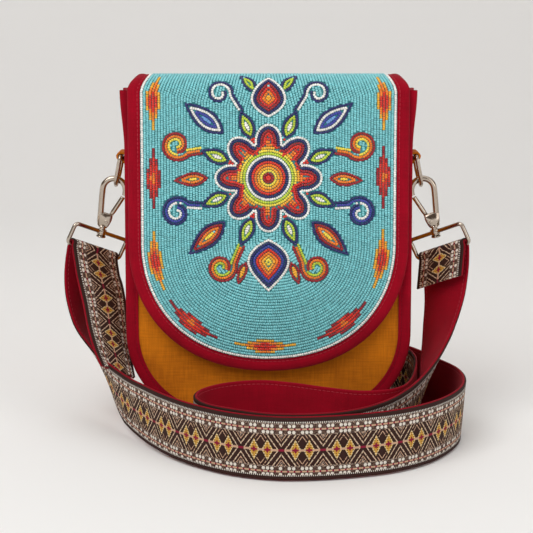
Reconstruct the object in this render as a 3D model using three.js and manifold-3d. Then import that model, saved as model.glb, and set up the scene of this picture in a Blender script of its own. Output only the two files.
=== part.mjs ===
// Crossbody bag with a beaded flap, two swivel hooks and a long patterned strap laid round it.
// Millimetres, +Z up, the flap faces -Y, the floor is z = 0. Shapes are drawn about the bag's own middle.
import * as THREE from "three";
import { mergeVertices } from "three/addons/utils/BufferGeometryUtils.js";
import Module from "manifold-3d";

const wasm = await Module();
wasm.setup();

// Driving sizes.
const GAP = 0.3;
const BAG_HALF_WIDTH = 101;
const MOUTH_FLARE = 2.7;
const FLARE_START_Z = 196;
const MOUTH_Z = 236;
const CORNER_RADIUS = 66;
const MOUTH_HALF_DEPTH = 13;
const BASE_EXTRA_DEPTH = 12;
const BASE_FULL_Z = 60;
const SHEET = 1.6;
const BINDING_WIDTH = 9;
const BINDING_SHEET = 0.8;
const GUSSET_SHEET = 1.2;
const GUSSET_INSET = 2.6;
const LINING_SHEET = 0.8;
const LINING_TOP_Z = 227.5;
const HEM_HEIGHT = 8;

const FLAP_SET_BACK = 2.9;
const FLAP_HALF_WIDTH = BAG_HALF_WIDTH - FLAP_SET_BACK;
const FLAP_BOTTOM_Z = 40.1;
const FLAP_CURVE_TOP_Z = 130.5;
const FLAP_BACKING = 2;
const BEAD_LAYER = 1.6;
const FLAP_BINDING_WIDTH = 8.8;
const EDGE_ROW_WIDTH = 2;
const FLAP_STAND_OFF_TOP = 2.6;
const FLAP_STAND_OFF_BOTTOM = 5.2;
const ROLL_RISE = 6.6;
const ROLL_TAPER = 7.1;
const HINGE_Z = MOUTH_Z;
const ANCHOR_HEIGHT = 12;
const ANCHOR_START_Y = MOUTH_HALF_DEPTH + 2.6;

const SNAP_Z = 62;
const SNAP_SOCKET_RADIUS = 8;
const SNAP_SOCKET_HEIGHT = 1.6;
const SNAP_STUD_RADIUS = 7;
const SNAP_STUD_HEIGHT = 1.2;

const RING_BAR_X = BAG_HALF_WIDTH + 3.3;
const RING_BAR_Z = 190;
const RING_WIRE = 3;
const RING_HALF_WIDTH = 11.5;
const RING_STRAIGHT = 10.4;
const RING_CORNER = 2;
const RING_TILT_DEG = 11.5;
const TAB_HALF_WIDTH = 9.3;
const TAB_SHEET = 1.4;
const TAB_TAIL_SHEET = 2.6;
const TAB_BOTTOM_Z = 172;

const HOOK_X = RING_BAR_X + 14.55;
const HOOK_Z = RING_BAR_Z - 51;
const HOOK_TILT_DEG = 12;
const HOOK_WIRE = 3.6;
const BOW_U = -3;
const BOW_W = 27.3;
const BOW_RADIUS = 7.7;
const BASE_THICK = 4.6;
const SLOT_WIDTH = 2.3;
const GATE_PIVOT_U = -2;
const GATE_PIVOT_W = 3.6;
const GATE_TIP_U = -10.2;
const GATE_TIP_W = 23.4;
const GATE_WIRE = 3.4;
const NOSE_GAP = 1.05;
const TONGUE_THICK = 1.7;
const PIN_RADIUS = 0.9;
const STEM_RADIUS = 1.6;
const STEM_CLEARANCE = 0.45;
const COLLAR_RADIUS = 3.5;
const COLLAR_HEIGHT = 4.4;
const COLLAR_W = -4.6;
const HEAD_RADIUS = 2.7;
const HEAD_HEIGHT = 1.5;

const LOOP_WIRE = 3;
const LOOP_WIDTH = 47.6;
const LOOP_LEG = 15;
const LOOP_CORNER = 2.2;
const BAR_DIRECTION = new THREE.Vector3(0.69, -0.62, 0.372).normalize();
const LEG_HINT = new THREE.Vector3(0.418, -0.075, -0.905);

const STRAP_WIDTH = 42;
const STRAP_SHEET = 2.4;

// Solids.

function solidOf(geometry) {
  const bare = geometry.index ? geometry.toNonIndexed() : geometry;
  const only = new THREE.BufferGeometry();
  only.setAttribute("position", bare.getAttribute("position"));
  const merged = mergeVertices(only, 1e-4);
  const data = {
    numProp: 3,
    vertProperties: merged.attributes.position.array,
    triVerts: new Uint32Array(merged.index.array),
  };
  return new wasm.Manifold(new wasm.Mesh(data));
}

function geometryOf(solid) {
  const mesh = solid.getMesh();
  const geometry = new THREE.BufferGeometry();
  geometry.setAttribute("position", new THREE.BufferAttribute(mesh.vertProperties, 3));
  geometry.setIndex(new THREE.BufferAttribute(mesh.triVerts, 1));
  const flat = geometry.toNonIndexed();
  flat.computeVertexNormals();
  return flat;
}

function extrude(points, depth, basis, holes = []) {
  const shape = new THREE.Shape(points.map(([a, b]) => new THREE.Vector2(a, b)));
  for (const hole of holes) {
    shape.holes.push(new THREE.Path(hole.map(([a, b]) => new THREE.Vector2(a, b))));
  }
  const geometry = new THREE.ExtrudeGeometry(shape, { depth, bevelEnabled: false });
  return solidOf(geometry.applyMatrix4(basis));
}

// A shape drawn in X and Z, run along Y from y0 to y1.
function alongY(points, y0, y1, holes = []) {
  const basis = new THREE.Matrix4().set(1, 0, 0, 0, 0, 0, -1, y1, 0, 1, 0, 0, 0, 0, 0, 1);
  return extrude(points, y1 - y0, basis, holes);
}

// A shape drawn in Y and Z, run along X between -halfX and halfX.
function alongX(points, halfX) {
  const basis = new THREE.Matrix4().set(0, 0, 1, -halfX, 1, 0, 0, 0, 0, 1, 0, 0, 0, 0, 0, 1);
  return extrude(points, 2 * halfX, basis);
}

function cylinderAt(radius, height, from, direction, sides = 14) {
  const geometry = new THREE.CylinderGeometry(radius, radius, height, sides);
  geometry.translate(0, height / 2, 0);
  const turn = new THREE.Quaternion().setFromUnitVectors(new THREE.Vector3(0, 1, 0), direction);
  geometry.applyQuaternion(turn);
  geometry.translate(from.x, from.y, from.z);
  return solidOf(geometry);
}

// Rings of points joined side by side; capped at both ends, or closed round to the first ring.
function loft(rings, closed) {
  const count = rings[0].length;
  const corners = [];
  const last = closed ? rings.length : rings.length - 1;
  for (let i = 0; i < last; i += 1) {
    const near = rings[i];
    const far = rings[(i + 1) % rings.length];
    for (let j = 0; j < count; j += 1) {
      const k = (j + 1) % count;
      corners.push(near[j], near[k], far[k], near[j], far[k], far[j]);
    }
  }
  if (!closed) {
    const first = rings[0];
    const end = rings[rings.length - 1];
    for (let j = 1; j < count - 1; j += 1) {
      corners.push(first[0], first[j + 1], first[j], end[0], end[j], end[j + 1]);
    }
  }
  const geometry = new THREE.BufferGeometry().setFromPoints(corners);
  const solid = solidOf(geometry);
  if (solid.volume() >= 0) return solid;
  for (let i = 0; i < corners.length; i += 3) {
    [corners[i + 1], corners[i + 2]] = [corners[i + 2], corners[i + 1]];
  }
  return solidOf(new THREE.BufferGeometry().setFromPoints(corners));
}

// A round wire along points that lie in one plane.
function wire(points, radius, planeNormal, closed, sides = 8) {
  const rings = points.map((point, i) => {
    const before = closed ? points.at(i - 1) : points[Math.max(i - 1, 0)];
    const after = closed ? points[(i + 1) % points.length] : points[Math.min(i + 1, points.length - 1)];
    const along = after.clone().sub(before).normalize();
    const side = new THREE.Vector3().crossVectors(planeNormal, along).normalize();
    const ring = [];
    for (let j = 0; j < sides; j += 1) {
      const angle = ((j + 0.5) / sides) * 2 * Math.PI;
      const offset = side.clone().multiplyScalar(radius * Math.cos(angle));
      ring.push(point.clone().add(offset).addScaledVector(planeNormal, radius * Math.sin(angle)));
    }
    return ring;
  });
  return loft(rings, closed);
}

function arcPoints(centre, radius, fromDeg, toDeg, steps) {
  const points = [];
  for (let i = 0; i <= steps; i += 1) {
    const angle = THREE.MathUtils.degToRad(fromDeg + ((toDeg - fromDeg) * i) / steps);
    points.push([centre[0] + radius * Math.cos(angle), centre[1] + radius * Math.sin(angle)]);
  }
  return points;
}

function joined(solids) {
  return solids.reduce((sum, solid) => sum.add(solid));
}

// The bag's outline seen from the front, and its half depth at a height.

const WIDTH_HEIGHTS = [0, FLARE_START_Z, 209, 223, MOUTH_Z];
const DEPTH_HEIGHTS = [0, BASE_FULL_Z, 92, 125, 160, 190, 215, MOUTH_Z];

// A size read at set heights, with straight runs between them, so that every layer shares its corners.
function straightRuns(heights, sizeAt) {
  const sizes = heights.map(sizeAt);
  return (z) => {
    if (z <= heights[0]) return sizes[0];
    const next = heights.findIndex((height) => height >= z);
    if (next < 0) return sizes.at(-1);
    const share = (z - heights[next - 1]) / (heights[next] - heights[next - 1]);
    return THREE.MathUtils.lerp(sizes[next - 1], sizes[next], share);
  };
}

const halfWidthAt = straightRuns(WIDTH_HEIGHTS, (z) => {
  return BAG_HALF_WIDTH + MOUTH_FLARE * THREE.MathUtils.smoothstep(z, FLARE_START_Z, MOUTH_Z);
});

const halfDepthAt = straightRuns(DEPTH_HEIGHTS, (z) => {
  const share = THREE.MathUtils.smoothstep(MOUTH_Z - z, 0, MOUTH_Z - BASE_FULL_Z);
  return MOUTH_HALF_DEPTH + BASE_EXTRA_DEPTH * share;
});

function bagOutline(inset, topZ) {
  const half = BAG_HALF_WIDTH - CORNER_RADIUS;
  const right = arcPoints([half, CORNER_RADIUS], CORNER_RADIUS - inset, -90, 0, 9);
  const heights = WIDTH_HEIGHTS.filter((z) => z > CORNER_RADIUS && z < topZ);
  for (const z of [...heights, topZ]) right.push([halfWidthAt(z) - inset, z]);
  const left = right.map(([x, z]) => [-x, z]).reverse();
  return [...right, ...left];
}

// A sheet that follows the bag's front (side -1) or back (side 1) between two depths in from its face.
function wallBand(side, outer, inner, topZ = MOUTH_Z + 2, bottomZ = -1) {
  const heights = [bottomZ, ...DEPTH_HEIGHTS.filter((z) => z > bottomZ && z < topZ), topZ];
  const out = heights.map((z) => [side * (halfDepthAt(z) - outer), z]);
  const back = heights.map((z) => [side * (halfDepthAt(z) - inner), z]).reverse();
  return alongX([...out, ...back], BAG_HALF_WIDTH + 10);
}

function bandBetween(outerInset, innerInset, topZ) {
  const whole = alongY(bagOutline(outerInset, topZ), -40, 40);
  const core = alongY(bagOutline(innerInset, topZ + 5), -41, 41);
  return whole.subtract(core);
}

const EDGE_INSET = BINDING_SHEET + GAP;
const FLANGE_START = SHEET / 2 + GAP;
const FLANGE_END = FLANGE_START + GUSSET_SHEET;
const GUSSET_INNER = GUSSET_INSET + GUSSET_SHEET;
const BINDING_FRONT_IN = -SHEET / 2 - GAP;
const BINDING_FRONT_OUT = BINDING_FRONT_IN - BINDING_SHEET;
const BINDING_BACK_OUT = FLANGE_END + GAP;
const BINDING_BACK_IN = BINDING_BACK_OUT + BINDING_SHEET;

function panel(side) {
  const topZ = side < 0 ? MOUTH_Z - GAP : MOUTH_Z;
  const outline = alongY(bagOutline(EDGE_INSET, topZ), -40, 40);
  return wallBand(side, -SHEET / 2, SHEET / 2).intersect(outline);
}

function bodyBinding(side) {
  const front = wallBand(side, BINDING_FRONT_OUT, BINDING_FRONT_IN);
  const web = wallBand(side, BINDING_FRONT_OUT, BINDING_BACK_IN);
  const back = wallBand(side, BINDING_BACK_OUT, BINDING_BACK_IN);
  return joined([
    front.intersect(bandBetween(0, BINDING_WIDTH, MOUTH_Z)),
    web.intersect(bandBetween(0, BINDING_SHEET, MOUTH_Z)),
    back.intersect(bandBetween(0, GUSSET_INSET - GAP, MOUTH_Z)),
  ]);
}

function gusset() {
  const topZ = MOUTH_Z - GAP;
  const strip = bandBetween(GUSSET_INSET, GUSSET_INNER, topZ);
  const flange = bandBetween(EDGE_INSET, GUSSET_INNER, topZ);
  const front = wallBand(-1, -30, FLANGE_START);
  const rear = wallBand(1, -30, FLANGE_START);
  const between = strip.subtract(front).subtract(rear);
  return joined([
    between,
    flange.intersect(wallBand(-1, FLANGE_START, FLANGE_END)),
    flange.intersect(wallBand(1, FLANGE_START, FLANGE_END)),
  ]);
}

function lining() {
  const outer = alongY(bagOutline(GUSSET_INNER + 2, LINING_TOP_Z), -40, 40);
  const inner = alongY(bagOutline(GUSSET_INNER + 2 + LINING_SHEET, LINING_TOP_Z + 5), -41, 41);
  const start = FLANGE_START;
  const end = FLANGE_START + LINING_SHEET;
  const shell = outer.subtract(wallBand(-1, -30, start)).subtract(wallBand(1, -30, start));
  const hollow = inner.subtract(wallBand(-1, -30, end)).subtract(wallBand(1, -30, end));
  return shell.subtract(hollow);
}

function frontHem() {
  const halfX = halfWidthAt(MOUTH_Z - HEM_HEIGHT) - BINDING_WIDTH - GAP;
  const low = MOUTH_Z - HEM_HEIGHT;
  const out = -SHEET / 2 - GAP - BINDING_SHEET;
  const profile = [
    [-halfDepthAt(low) + out, low],
    [-halfDepthAt(low) + out + BINDING_SHEET, low],
    [-halfDepthAt(MOUTH_Z) + out + BINDING_SHEET, MOUTH_Z],
    [-halfDepthAt(MOUTH_Z) - out - BINDING_SHEET, MOUTH_Z],
    [-halfDepthAt(low) - out - BINDING_SHEET, low],
    [-halfDepthAt(low) - out, low],
    [-halfDepthAt(MOUTH_Z) - out, MOUTH_Z + BINDING_SHEET],
    [-halfDepthAt(MOUTH_Z) + out, MOUTH_Z + BINDING_SHEET],
  ];
  return alongX(profile, halfX);
}

function gussetHem(side) {
  const low = MOUTH_Z - HEM_HEIGHT;
  const outer = GUSSET_INSET - GAP - BINDING_SHEET;
  const inner = GUSSET_INNER + GAP;
  const point = (inset, z) => [side * (halfWidthAt(Math.min(z, MOUTH_Z)) - inset), z];
  const profile = [
    point(outer, low),
    point(outer + BINDING_SHEET, low),
    point(outer + BINDING_SHEET, MOUTH_Z),
    point(inner, MOUTH_Z),
    point(inner, low),
    point(inner + BINDING_SHEET, low),
    point(inner + BINDING_SHEET, MOUTH_Z + BINDING_SHEET),
    point(outer, MOUTH_Z + BINDING_SHEET),
  ];
  const halfY = MOUTH_HALF_DEPTH - BINDING_BACK_IN - GAP;
  return alongY(side > 0 ? profile.reverse() : profile, -halfY, halfY);
}

// A closed outline moved outwards by an amount, with mitred corners.
function grown(points, amount) {
  return points.map(([x, z], i) => {
    const before = points.at(i - 1);
    const after = points[(i + 1) % points.length];
    const first = new THREE.Vector2(z - before[1], before[0] - x).normalize();
    const second = new THREE.Vector2(after[1] - z, x - after[0]).normalize();
    const mitre = first.clone().add(second).divideScalar(Math.max(1 + first.dot(second), 0.15));
    return [x + mitre.x * amount, z + mitre.y * amount];
  });
}

// The flap's outline seen from the front.

function flapOutline(inset) {
  const curve = new THREE.CubicBezierCurve(
    new THREE.Vector2(0, FLAP_BOTTOM_Z),
    new THREE.Vector2(66, FLAP_BOTTOM_Z),
    new THREE.Vector2(FLAP_HALF_WIDTH, FLAP_CURVE_TOP_Z - 46),
    new THREE.Vector2(FLAP_HALF_WIDTH, FLAP_CURVE_TOP_Z),
  );
  const right = curve.getPoints(12).map((at) => [at.x, at.y]);
  right.push([FLAP_HALF_WIDTH, HINGE_Z]);
  right.push([FLAP_HALF_WIDTH - 0.14 * ROLL_TAPER, HINGE_Z + 0.6 * ROLL_RISE]);
  right.push([FLAP_HALF_WIDTH - 0.45 * ROLL_TAPER, HINGE_Z + 1.2 * ROLL_RISE]);
  right.push([FLAP_HALF_WIDTH - ROLL_TAPER, HINGE_Z + 1.76 * ROLL_RISE]);
  right.push([FLAP_HALF_WIDTH - ROLL_TAPER, HINGE_Z + 6 * ROLL_RISE]);
  const left = right.slice(1).map(([x, z]) => [-x, z]).reverse();
  return grown([...right, ...left], -inset);
}

// The flap's side profile: the inner face runs from the hinge over the roll and down the front.
function flapFace() {
  const start = ANCHOR_START_Y - BINDING_SHEET - GAP;
  const end = MOUTH_HALF_DEPTH + FLAP_STAND_OFF_TOP;
  const half = (start + end) / 2;
  const centre = (start - end) / 2;
  const base = HINGE_Z + 0.15;
  const points = arcPoints([0, 0], 1, 0, 180, 12).map(([c, s]) => [centre + half * c, base + ROLL_RISE * s]);
  for (let i = 1; i <= 8; i += 1) {
    const z = base - (i / 8) * (base - FLAP_BOTTOM_Z + 3);
    const down = (base - z) / (base - FLAP_BOTTOM_Z);
    const stand = FLAP_STAND_OFF_TOP + (FLAP_STAND_OFF_BOTTOM - FLAP_STAND_OFF_TOP) * down;
    points.push([-halfDepthAt(z) - stand, z]);
  }
  return points;
}

function offsetFace(face, distance) {
  return face.map(([y, z], i) => {
    const before = face[Math.max(i - 1, 0)];
    const after = face[Math.min(i + 1, face.length - 1)];
    const along = new THREE.Vector2(after[0] - before[0], after[1] - before[1]).normalize();
    if (i === 0) along.set(0, 1);
    return [y + along.y * distance, z - along.x * distance];
  });
}

function flapBand(inner, outer) {
  const face = flapFace();
  return alongX([...offsetFace(face, outer), ...offsetFace(face, inner).reverse()], FLAP_HALF_WIDTH + 5);
}

const BACKING_IN = BINDING_SHEET + GAP;
const BACKING_OUT = BACKING_IN + FLAP_BACKING;
const BEADS_IN = BACKING_OUT + GAP;
const BEADS_OUT = BEADS_IN + BEAD_LAYER;
const EDGE_ROW_INSET = FLAP_BINDING_WIDTH + GAP;
const FIELD_INSET = EDGE_ROW_INSET + EDGE_ROW_WIDTH + GAP;

function flapPrism(inset) {
  return alongY(flapOutline(inset), -60, 60);
}

function flapBinding() {
  const ring = flapPrism(0).subtract(flapPrism(FLAP_BINDING_WIDTH));
  const edge = flapPrism(0).subtract(flapPrism(BINDING_SHEET));
  return joined([
    flapBand(0, BINDING_SHEET).intersect(ring),
    flapBand(BEADS_IN, BEADS_IN + BINDING_SHEET).intersect(ring),
    flapBand(0, BEADS_IN + BINDING_SHEET).intersect(edge),
  ]);
}

// Ornaments in the bead layer, each drawn in X and Z.

function lozenge(x, z, angleDeg, halfLength, halfWidth) {
  const turn = THREE.MathUtils.degToRad(angleDeg);
  const corners = [
    [halfLength, 0],
    [0, halfWidth],
    [-halfLength, 0],
    [0, -halfWidth],
  ];
  return corners.map(([a, b]) => [
    x + a * Math.cos(turn) - b * Math.sin(turn),
    z + a * Math.sin(turn) + b * Math.cos(turn),
  ]);
}

function rosette(x, z, petals, outer, inner, phaseDeg = 90) {
  const points = [];
  for (let i = 0; i < petals * 8; i += 1) {
    const share = (i % 8) / 8;
    const swell = Math.pow(Math.abs(Math.sin(Math.PI * share)), 0.75);
    const radius = inner + (outer - inner) * swell;
    const angle = THREE.MathUtils.degToRad(phaseDeg) + ((i - 4) / (petals * 8)) * 2 * Math.PI;
    points.push([x + radius * Math.cos(angle), z + radius * Math.sin(angle)]);
  }
  return points;
}

function leaf(x, z, angleDeg, length, width) {
  const turn = THREE.MathUtils.degToRad(angleDeg);
  const edge = (sign, t) => [t * length, sign * width * 0.5 * Math.sin(Math.PI * Math.pow(t, 0.8))];
  const side = (sign) => [0.12, 0.3, 0.5, 0.7, 0.88].map((t) => edge(sign, t));
  const outline = [[0, 0], ...side(-1), [length, 0], ...side(1).reverse()];
  return outline.map(([a, b]) => [
    x + a * Math.cos(turn) - b * Math.sin(turn),
    z + a * Math.sin(turn) + b * Math.cos(turn),
  ]);
}

function mirrored(points) {
  return points.map(([x, z]) => [-x, z]).reverse();
}

// Ornament positions and sizes are shares of the flap's half width and of the hinge's height.
const ROSETTE_Z = 0.746 * HINGE_Z;
const CORE_RADIUS = 0.143 * FLAP_HALF_WIDTH;
const LOZENGE_LENGTH = 0.178 * FLAP_HALF_WIDTH;
const LOZENGE_MARGIN = 0.7;
const ROW_X = FLAP_HALF_WIDTH - FIELD_INSET - 0.3 * LOZENGE_LENGTH - LOZENGE_MARGIN;
const LEAF_LENGTH = 0.367 * FLAP_HALF_WIDTH;
const LEAF_WIDTH = 0.15 * FLAP_HALF_WIDTH;
const BUD_LENGTH = 0.255 * FLAP_HALF_WIDTH;

function lozengeAt(x, zShare, angleDeg, size = 1) {
  return lozenge(x, zShare * HINGE_Z, angleDeg, size * LOZENGE_LENGTH, 0.3 * LOZENGE_LENGTH);
}

function leafAt(xShare, zShare, angleDeg, size) {
  const x = xShare * FLAP_HALF_WIDTH;
  return leaf(x, zShare * HINGE_Z, angleDeg, size * LEAF_LENGTH, size * LEAF_WIDTH);
}

const ORNAMENTS = {
  lozenge_top_left: lozengeAt(-ROW_X, 0.962, 90, 0.74),
  lozenge_top_right: lozengeAt(ROW_X, 0.962, 90, 0.74),
  lozenge_upper_left: lozengeAt(-ROW_X, 0.7445, 90),
  lozenge_upper_right: lozengeAt(ROW_X, 0.75, 90),
  lozenge_lower_left: lozengeAt(-0.993 * ROW_X, 0.5, 97),
  lozenge_lower_right: lozengeAt(0.987 * ROW_X, 0.506, 83),
  lozenge_base_left: lozengeAt(-0.674 * ROW_X, 0.318, 137),
  lozenge_base_right: lozengeAt(0.65 * ROW_X, 0.318, 43),
  lozenge_base: lozengeAt(-0.031 * ROW_X, 0.2424, 0),
  flower_petals: rosette(0, ROSETTE_Z, 8, 0.387 * FLAP_HALF_WIDTH, 0.255 * FLAP_HALF_WIDTH),
  bud_top: leaf(0, 0.924 * HINGE_Z, 90, BUD_LENGTH, BUD_LENGTH),
  bud_bottom: leaf(0, 0.568 * HINGE_Z, -90, 1.5 * BUD_LENGTH, 1.2 * BUD_LENGTH),
  leaf_upper_left: mirrored(leafAt(0.316, 0.877, 38, 1)),
  leaf_upper_right: leafAt(0.316, 0.877, 38, 1),
  leaf_side_left: mirrored(leafAt(0.428, 0.7458, -4, 0.7)),
  leaf_side_right: leafAt(0.428, 0.7458, -4, 0.7),
  leaf_lower_left: mirrored(leafAt(0.306, 0.619, -42, 1)),
  leaf_lower_right: leafAt(0.306, 0.619, -42, 1),
};

// Hardware frames: the hook lies in the XZ plane, tilted; the loop's bar runs along BAR_DIRECTION.

function mirrorX(vector, side) {
  return new THREE.Vector3(side * vector.x, vector.y, vector.z);
}

const tilt = THREE.MathUtils.degToRad(HOOK_TILT_DEG);
const HOOK_UP = new THREE.Vector3(-Math.sin(tilt), 0, Math.cos(tilt));
const HOOK_OUT = new THREE.Vector3(Math.cos(tilt), 0, Math.sin(tilt));
const HOOK_ORIGIN = new THREE.Vector3(HOOK_X, 0, HOOK_Z);
const AXIS_Y = new THREE.Vector3(0, 1, 0);

function hookPoint(u, w, side) {
  const point = HOOK_ORIGIN.clone().addScaledVector(HOOK_OUT, u).addScaledVector(HOOK_UP, w);
  return mirrorX(point, side);
}

// A shape drawn in the hook's plane, thick along Y about the middle plane.
function hookPlate(points, thick, side, holes = []) {
  const place = ([u, w]) => {
    const at = hookPoint(u, w, side);
    return [at.x, at.z];
  };
  return alongY(points.map(place), -thick / 2, thick / 2, holes.map((hole) => hole.map(place)));
}

const LEG_ALONG_BAR = LEG_HINT.dot(BAR_DIRECTION);
const LEG_DIRECTION = LEG_HINT.clone().addScaledVector(BAR_DIRECTION, -LEG_ALONG_BAR).normalize();
const LOOP_NORMAL = new THREE.Vector3().crossVectors(BAR_DIRECTION, LEG_DIRECTION);
const LOOP_TOP = HOOK_ORIGIN.clone().addScaledVector(HOOK_UP, COLLAR_W);
const LOOP_BAR = LOOP_TOP.clone().addScaledVector(LEG_DIRECTION, LOOP_LEG);

function roundedLoop(halfWidth, height, corner, tail) {
  const points = [
    ...arcPoints([halfWidth - corner, corner], corner, -90, 0, 4),
    ...tail,
    ...arcPoints([-halfWidth + corner, corner], corner, 180, 270, 4),
  ];
  return points;
}

function loopSolid(side) {
  const corner = LOOP_CORNER;
  const half = LOOP_WIDTH / 2;
  const outline = roundedLoop(half, LOOP_LEG, corner, [
    ...arcPoints([half - corner, LOOP_LEG - corner], corner, 0, 90, 4),
    ...arcPoints([-half + corner, LOOP_LEG - corner], corner, 90, 180, 4),
  ]);
  const bar = mirrorX(BAR_DIRECTION, side);
  const leg = mirrorX(LEG_DIRECTION, side);
  const points = outline.map(([a, b]) =>
    mirrorX(LOOP_TOP, side).addScaledVector(bar, a).addScaledVector(leg, b),
  );
  const normal = new THREE.Vector3().crossVectors(bar, leg).normalize();
  const up = mirrorX(HOOK_UP, side);
  const low = hookPoint(0, COLLAR_W - COLLAR_HEIGHT / 2, side);
  const collar = cylinderAt(COLLAR_RADIUS, COLLAR_HEIGHT, low, up);
  const bore = cylinderAt(STEM_RADIUS + STEM_CLEARANCE, 14, hookPoint(0, COLLAR_W - 7, side), up);
  return wire(points, LOOP_WIRE / 2, normal, true).add(collar).subtract(bore);
}

function ringSolid(side) {
  const down = new THREE.Vector3(side * Math.sin(THREE.MathUtils.degToRad(RING_TILT_DEG)), 0, 0);
  down.z = -Math.cos(THREE.MathUtils.degToRad(RING_TILT_DEG));
  const outline = roundedLoop(RING_HALF_WIDTH, RING_STRAIGHT, RING_CORNER, [
    ...arcPoints([0, RING_STRAIGHT], RING_HALF_WIDTH, 0, 180, 14),
  ]);
  const points = outline.map(([y, w]) =>
    new THREE.Vector3(side * RING_BAR_X, y, RING_BAR_Z).addScaledVector(down, w),
  );
  const normal = new THREE.Vector3().crossVectors(AXIS_Y, down).normalize();
  return wire(points, RING_WIRE / 2, normal, true);
}

function tabSolid(side) {
  const bore = RING_WIRE / 2 + GAP;
  const outer = bore + TAB_SHEET;
  const tailOut = BAG_HALF_WIDTH - GUSSET_INSET + GAP + TAB_TAIL_SHEET;
  const tailIn = tailOut - TAB_TAIL_SHEET;
  const circle = (radius) => arcPoints([side * RING_BAR_X, RING_BAR_Z], radius, 0, 337.5, 15);
  const eye = alongY(circle(outer), -TAB_HALF_WIDTH, TAB_HALF_WIDTH);
  const topZ = RING_BAR_Z + outer - 0.1;
  const tail = alongY(
    side > 0
      ? [[tailIn, TAB_BOTTOM_Z], [tailOut, TAB_BOTTOM_Z], [tailOut, topZ], [tailIn, topZ]]
      : [[-tailOut, TAB_BOTTOM_Z], [-tailIn, TAB_BOTTOM_Z], [-tailIn, topZ], [-tailOut, topZ]],
    -TAB_HALF_WIDTH,
    TAB_HALF_WIDTH,
  );
  const neck = alongY(
    side > 0
      ? [[tailIn, RING_BAR_Z - 3], [RING_BAR_X, RING_BAR_Z - 3], [RING_BAR_X, topZ], [tailIn, topZ]]
      : [[-RING_BAR_X, RING_BAR_Z - 3], [-tailIn, RING_BAR_Z - 3], [-tailIn, topZ], [-RING_BAR_X, topZ]],
    -TAB_HALF_WIDTH,
    TAB_HALF_WIDTH,
  );
  const hole = alongY(circle(bore), -TAB_HALF_WIDTH - 1, TAB_HALF_WIDTH + 1);
  return joined([eye, tail, neck]).subtract(hole);
}

function hookSolid(side) {
  const path = [];
  const foot = new THREE.CatmullRomCurve3([
    new THREE.Vector3(2.4, 0, 4.5),
    new THREE.Vector3(3.3, 0, 12),
    new THREE.Vector3(4.2, 0, 19.5),
    new THREE.Vector3(BOW_U + BOW_RADIUS, 0, BOW_W - 1.5),
  ]);
  for (const point of foot.getPoints(4)) path.push([point.x, point.z]);
  path.push(...arcPoints([BOW_U, BOW_W], BOW_RADIUS, 0, 180, 12));
  path.push([BOW_U - BOW_RADIUS + 0.1, GATE_TIP_W + NOSE_GAP]);
  const points = path.map(([u, w]) => hookPoint(u, w, side));
  const rod = wire(points, HOOK_WIRE / 2, AXIS_Y, false, 8);
  const block = hookPlate(
    [[-3.4, 0], [3.4, 0], [4.7, 8.3], [0.9, 8.3], [-3.9, 7.2], [-4.6, 4.2]],
    BASE_THICK,
    side,
  );
  const slot = hookPlate([[-7, 1.2], [1.7, 1.2], [1.7, 11], [-7, 11]], SLOT_WIDTH, side);
  const bore = hookPlate(arcPoints([GATE_PIVOT_U, GATE_PIVOT_W], PIN_RADIUS + GAP, 0, 336, 14), 12, side);
  const up = mirrorX(HOOK_UP, side);
  const headW = COLLAR_W - COLLAR_HEIGHT / 2 - STEM_CLEARANCE - HEAD_HEIGHT;
  const stem = cylinderAt(STEM_RADIUS, -headW + 0.5, hookPoint(0, headW, side), up);
  const head = cylinderAt(HEAD_RADIUS, HEAD_HEIGHT, hookPoint(0, headW, side), up);
  return joined([rod, block]).subtract(slot).subtract(bore).add(stem).add(head);
}

const GATE_ANGLE = Math.atan2(GATE_PIVOT_U - GATE_TIP_U, GATE_TIP_W - GATE_PIVOT_W);

function gatePoint(across, along) {
  const u = GATE_PIVOT_U + across * Math.cos(GATE_ANGLE) - along * Math.sin(GATE_ANGLE);
  const w = GATE_PIVOT_W + across * Math.sin(GATE_ANGLE) + along * Math.cos(GATE_ANGLE);
  return [u, w];
}

function gateSolid(side) {
  const length = Math.hypot(GATE_PIVOT_U - GATE_TIP_U, GATE_TIP_W - GATE_PIVOT_W);
  const eye = arcPoints([0, 0], 2.2, 180, 360, 10).map(([a, b]) => gatePoint(a, b));
  const tongue = hookPlate([...eye, gatePoint(1.4, 7.5), gatePoint(-1.4, 7.5)], TONGUE_THICK, side);
  const bore = hookPlate(arcPoints([GATE_PIVOT_U, GATE_PIVOT_W], PIN_RADIUS + GAP, 0, 336, 14), 12, side);
  const low = gatePoint(0, 6.4);
  const high = gatePoint(0, length);
  const points = [low, [(low[0] + high[0]) / 2, (low[1] + high[1]) / 2], high];
  const rod = wire(points.map(([u, w]) => hookPoint(u, w, side)), GATE_WIRE / 2, AXIS_Y, false, 8);
  return tongue.subtract(bore).add(rod);
}

function pinSolid(side) {
  const length = BASE_THICK + 0.6;
  const from = hookPoint(GATE_PIVOT_U, GATE_PIVOT_W, side);
  from.y = -length / 2;
  return cylinderAt(PIN_RADIUS, length, from, AXIS_Y, 14);
}

function springSolid(side) {
  return hookPlate([[0.9, 3], [1.4, 3], [1.4, 7.8], [0.9, 7.8]], 1.6, side);
}

// The strap: centre line and the direction across it, from its lower or rear edge to its upper or front edge.

function foldStations(side) {
  const bar = mirrorX(LOOP_BAR, side);
  const back = mirrorX(LOOP_NORMAL, side);
  const across = mirrorX(BAR_DIRECTION, side);
  const leg = mirrorX(LEG_DIRECTION, side);
  const radius = LOOP_WIRE / 2 + GAP + STRAP_SHEET / 2;
  return [0, 30, 60, 90, 120, 150, 180].map((degrees) => {
    const angle = THREE.MathUtils.degToRad(degrees);
    const at = bar.clone().addScaledVector(back, radius * Math.cos(angle));
    return [at.addScaledVector(leg, -radius * Math.sin(angle)), across.clone(), 1];
  });
}

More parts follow.
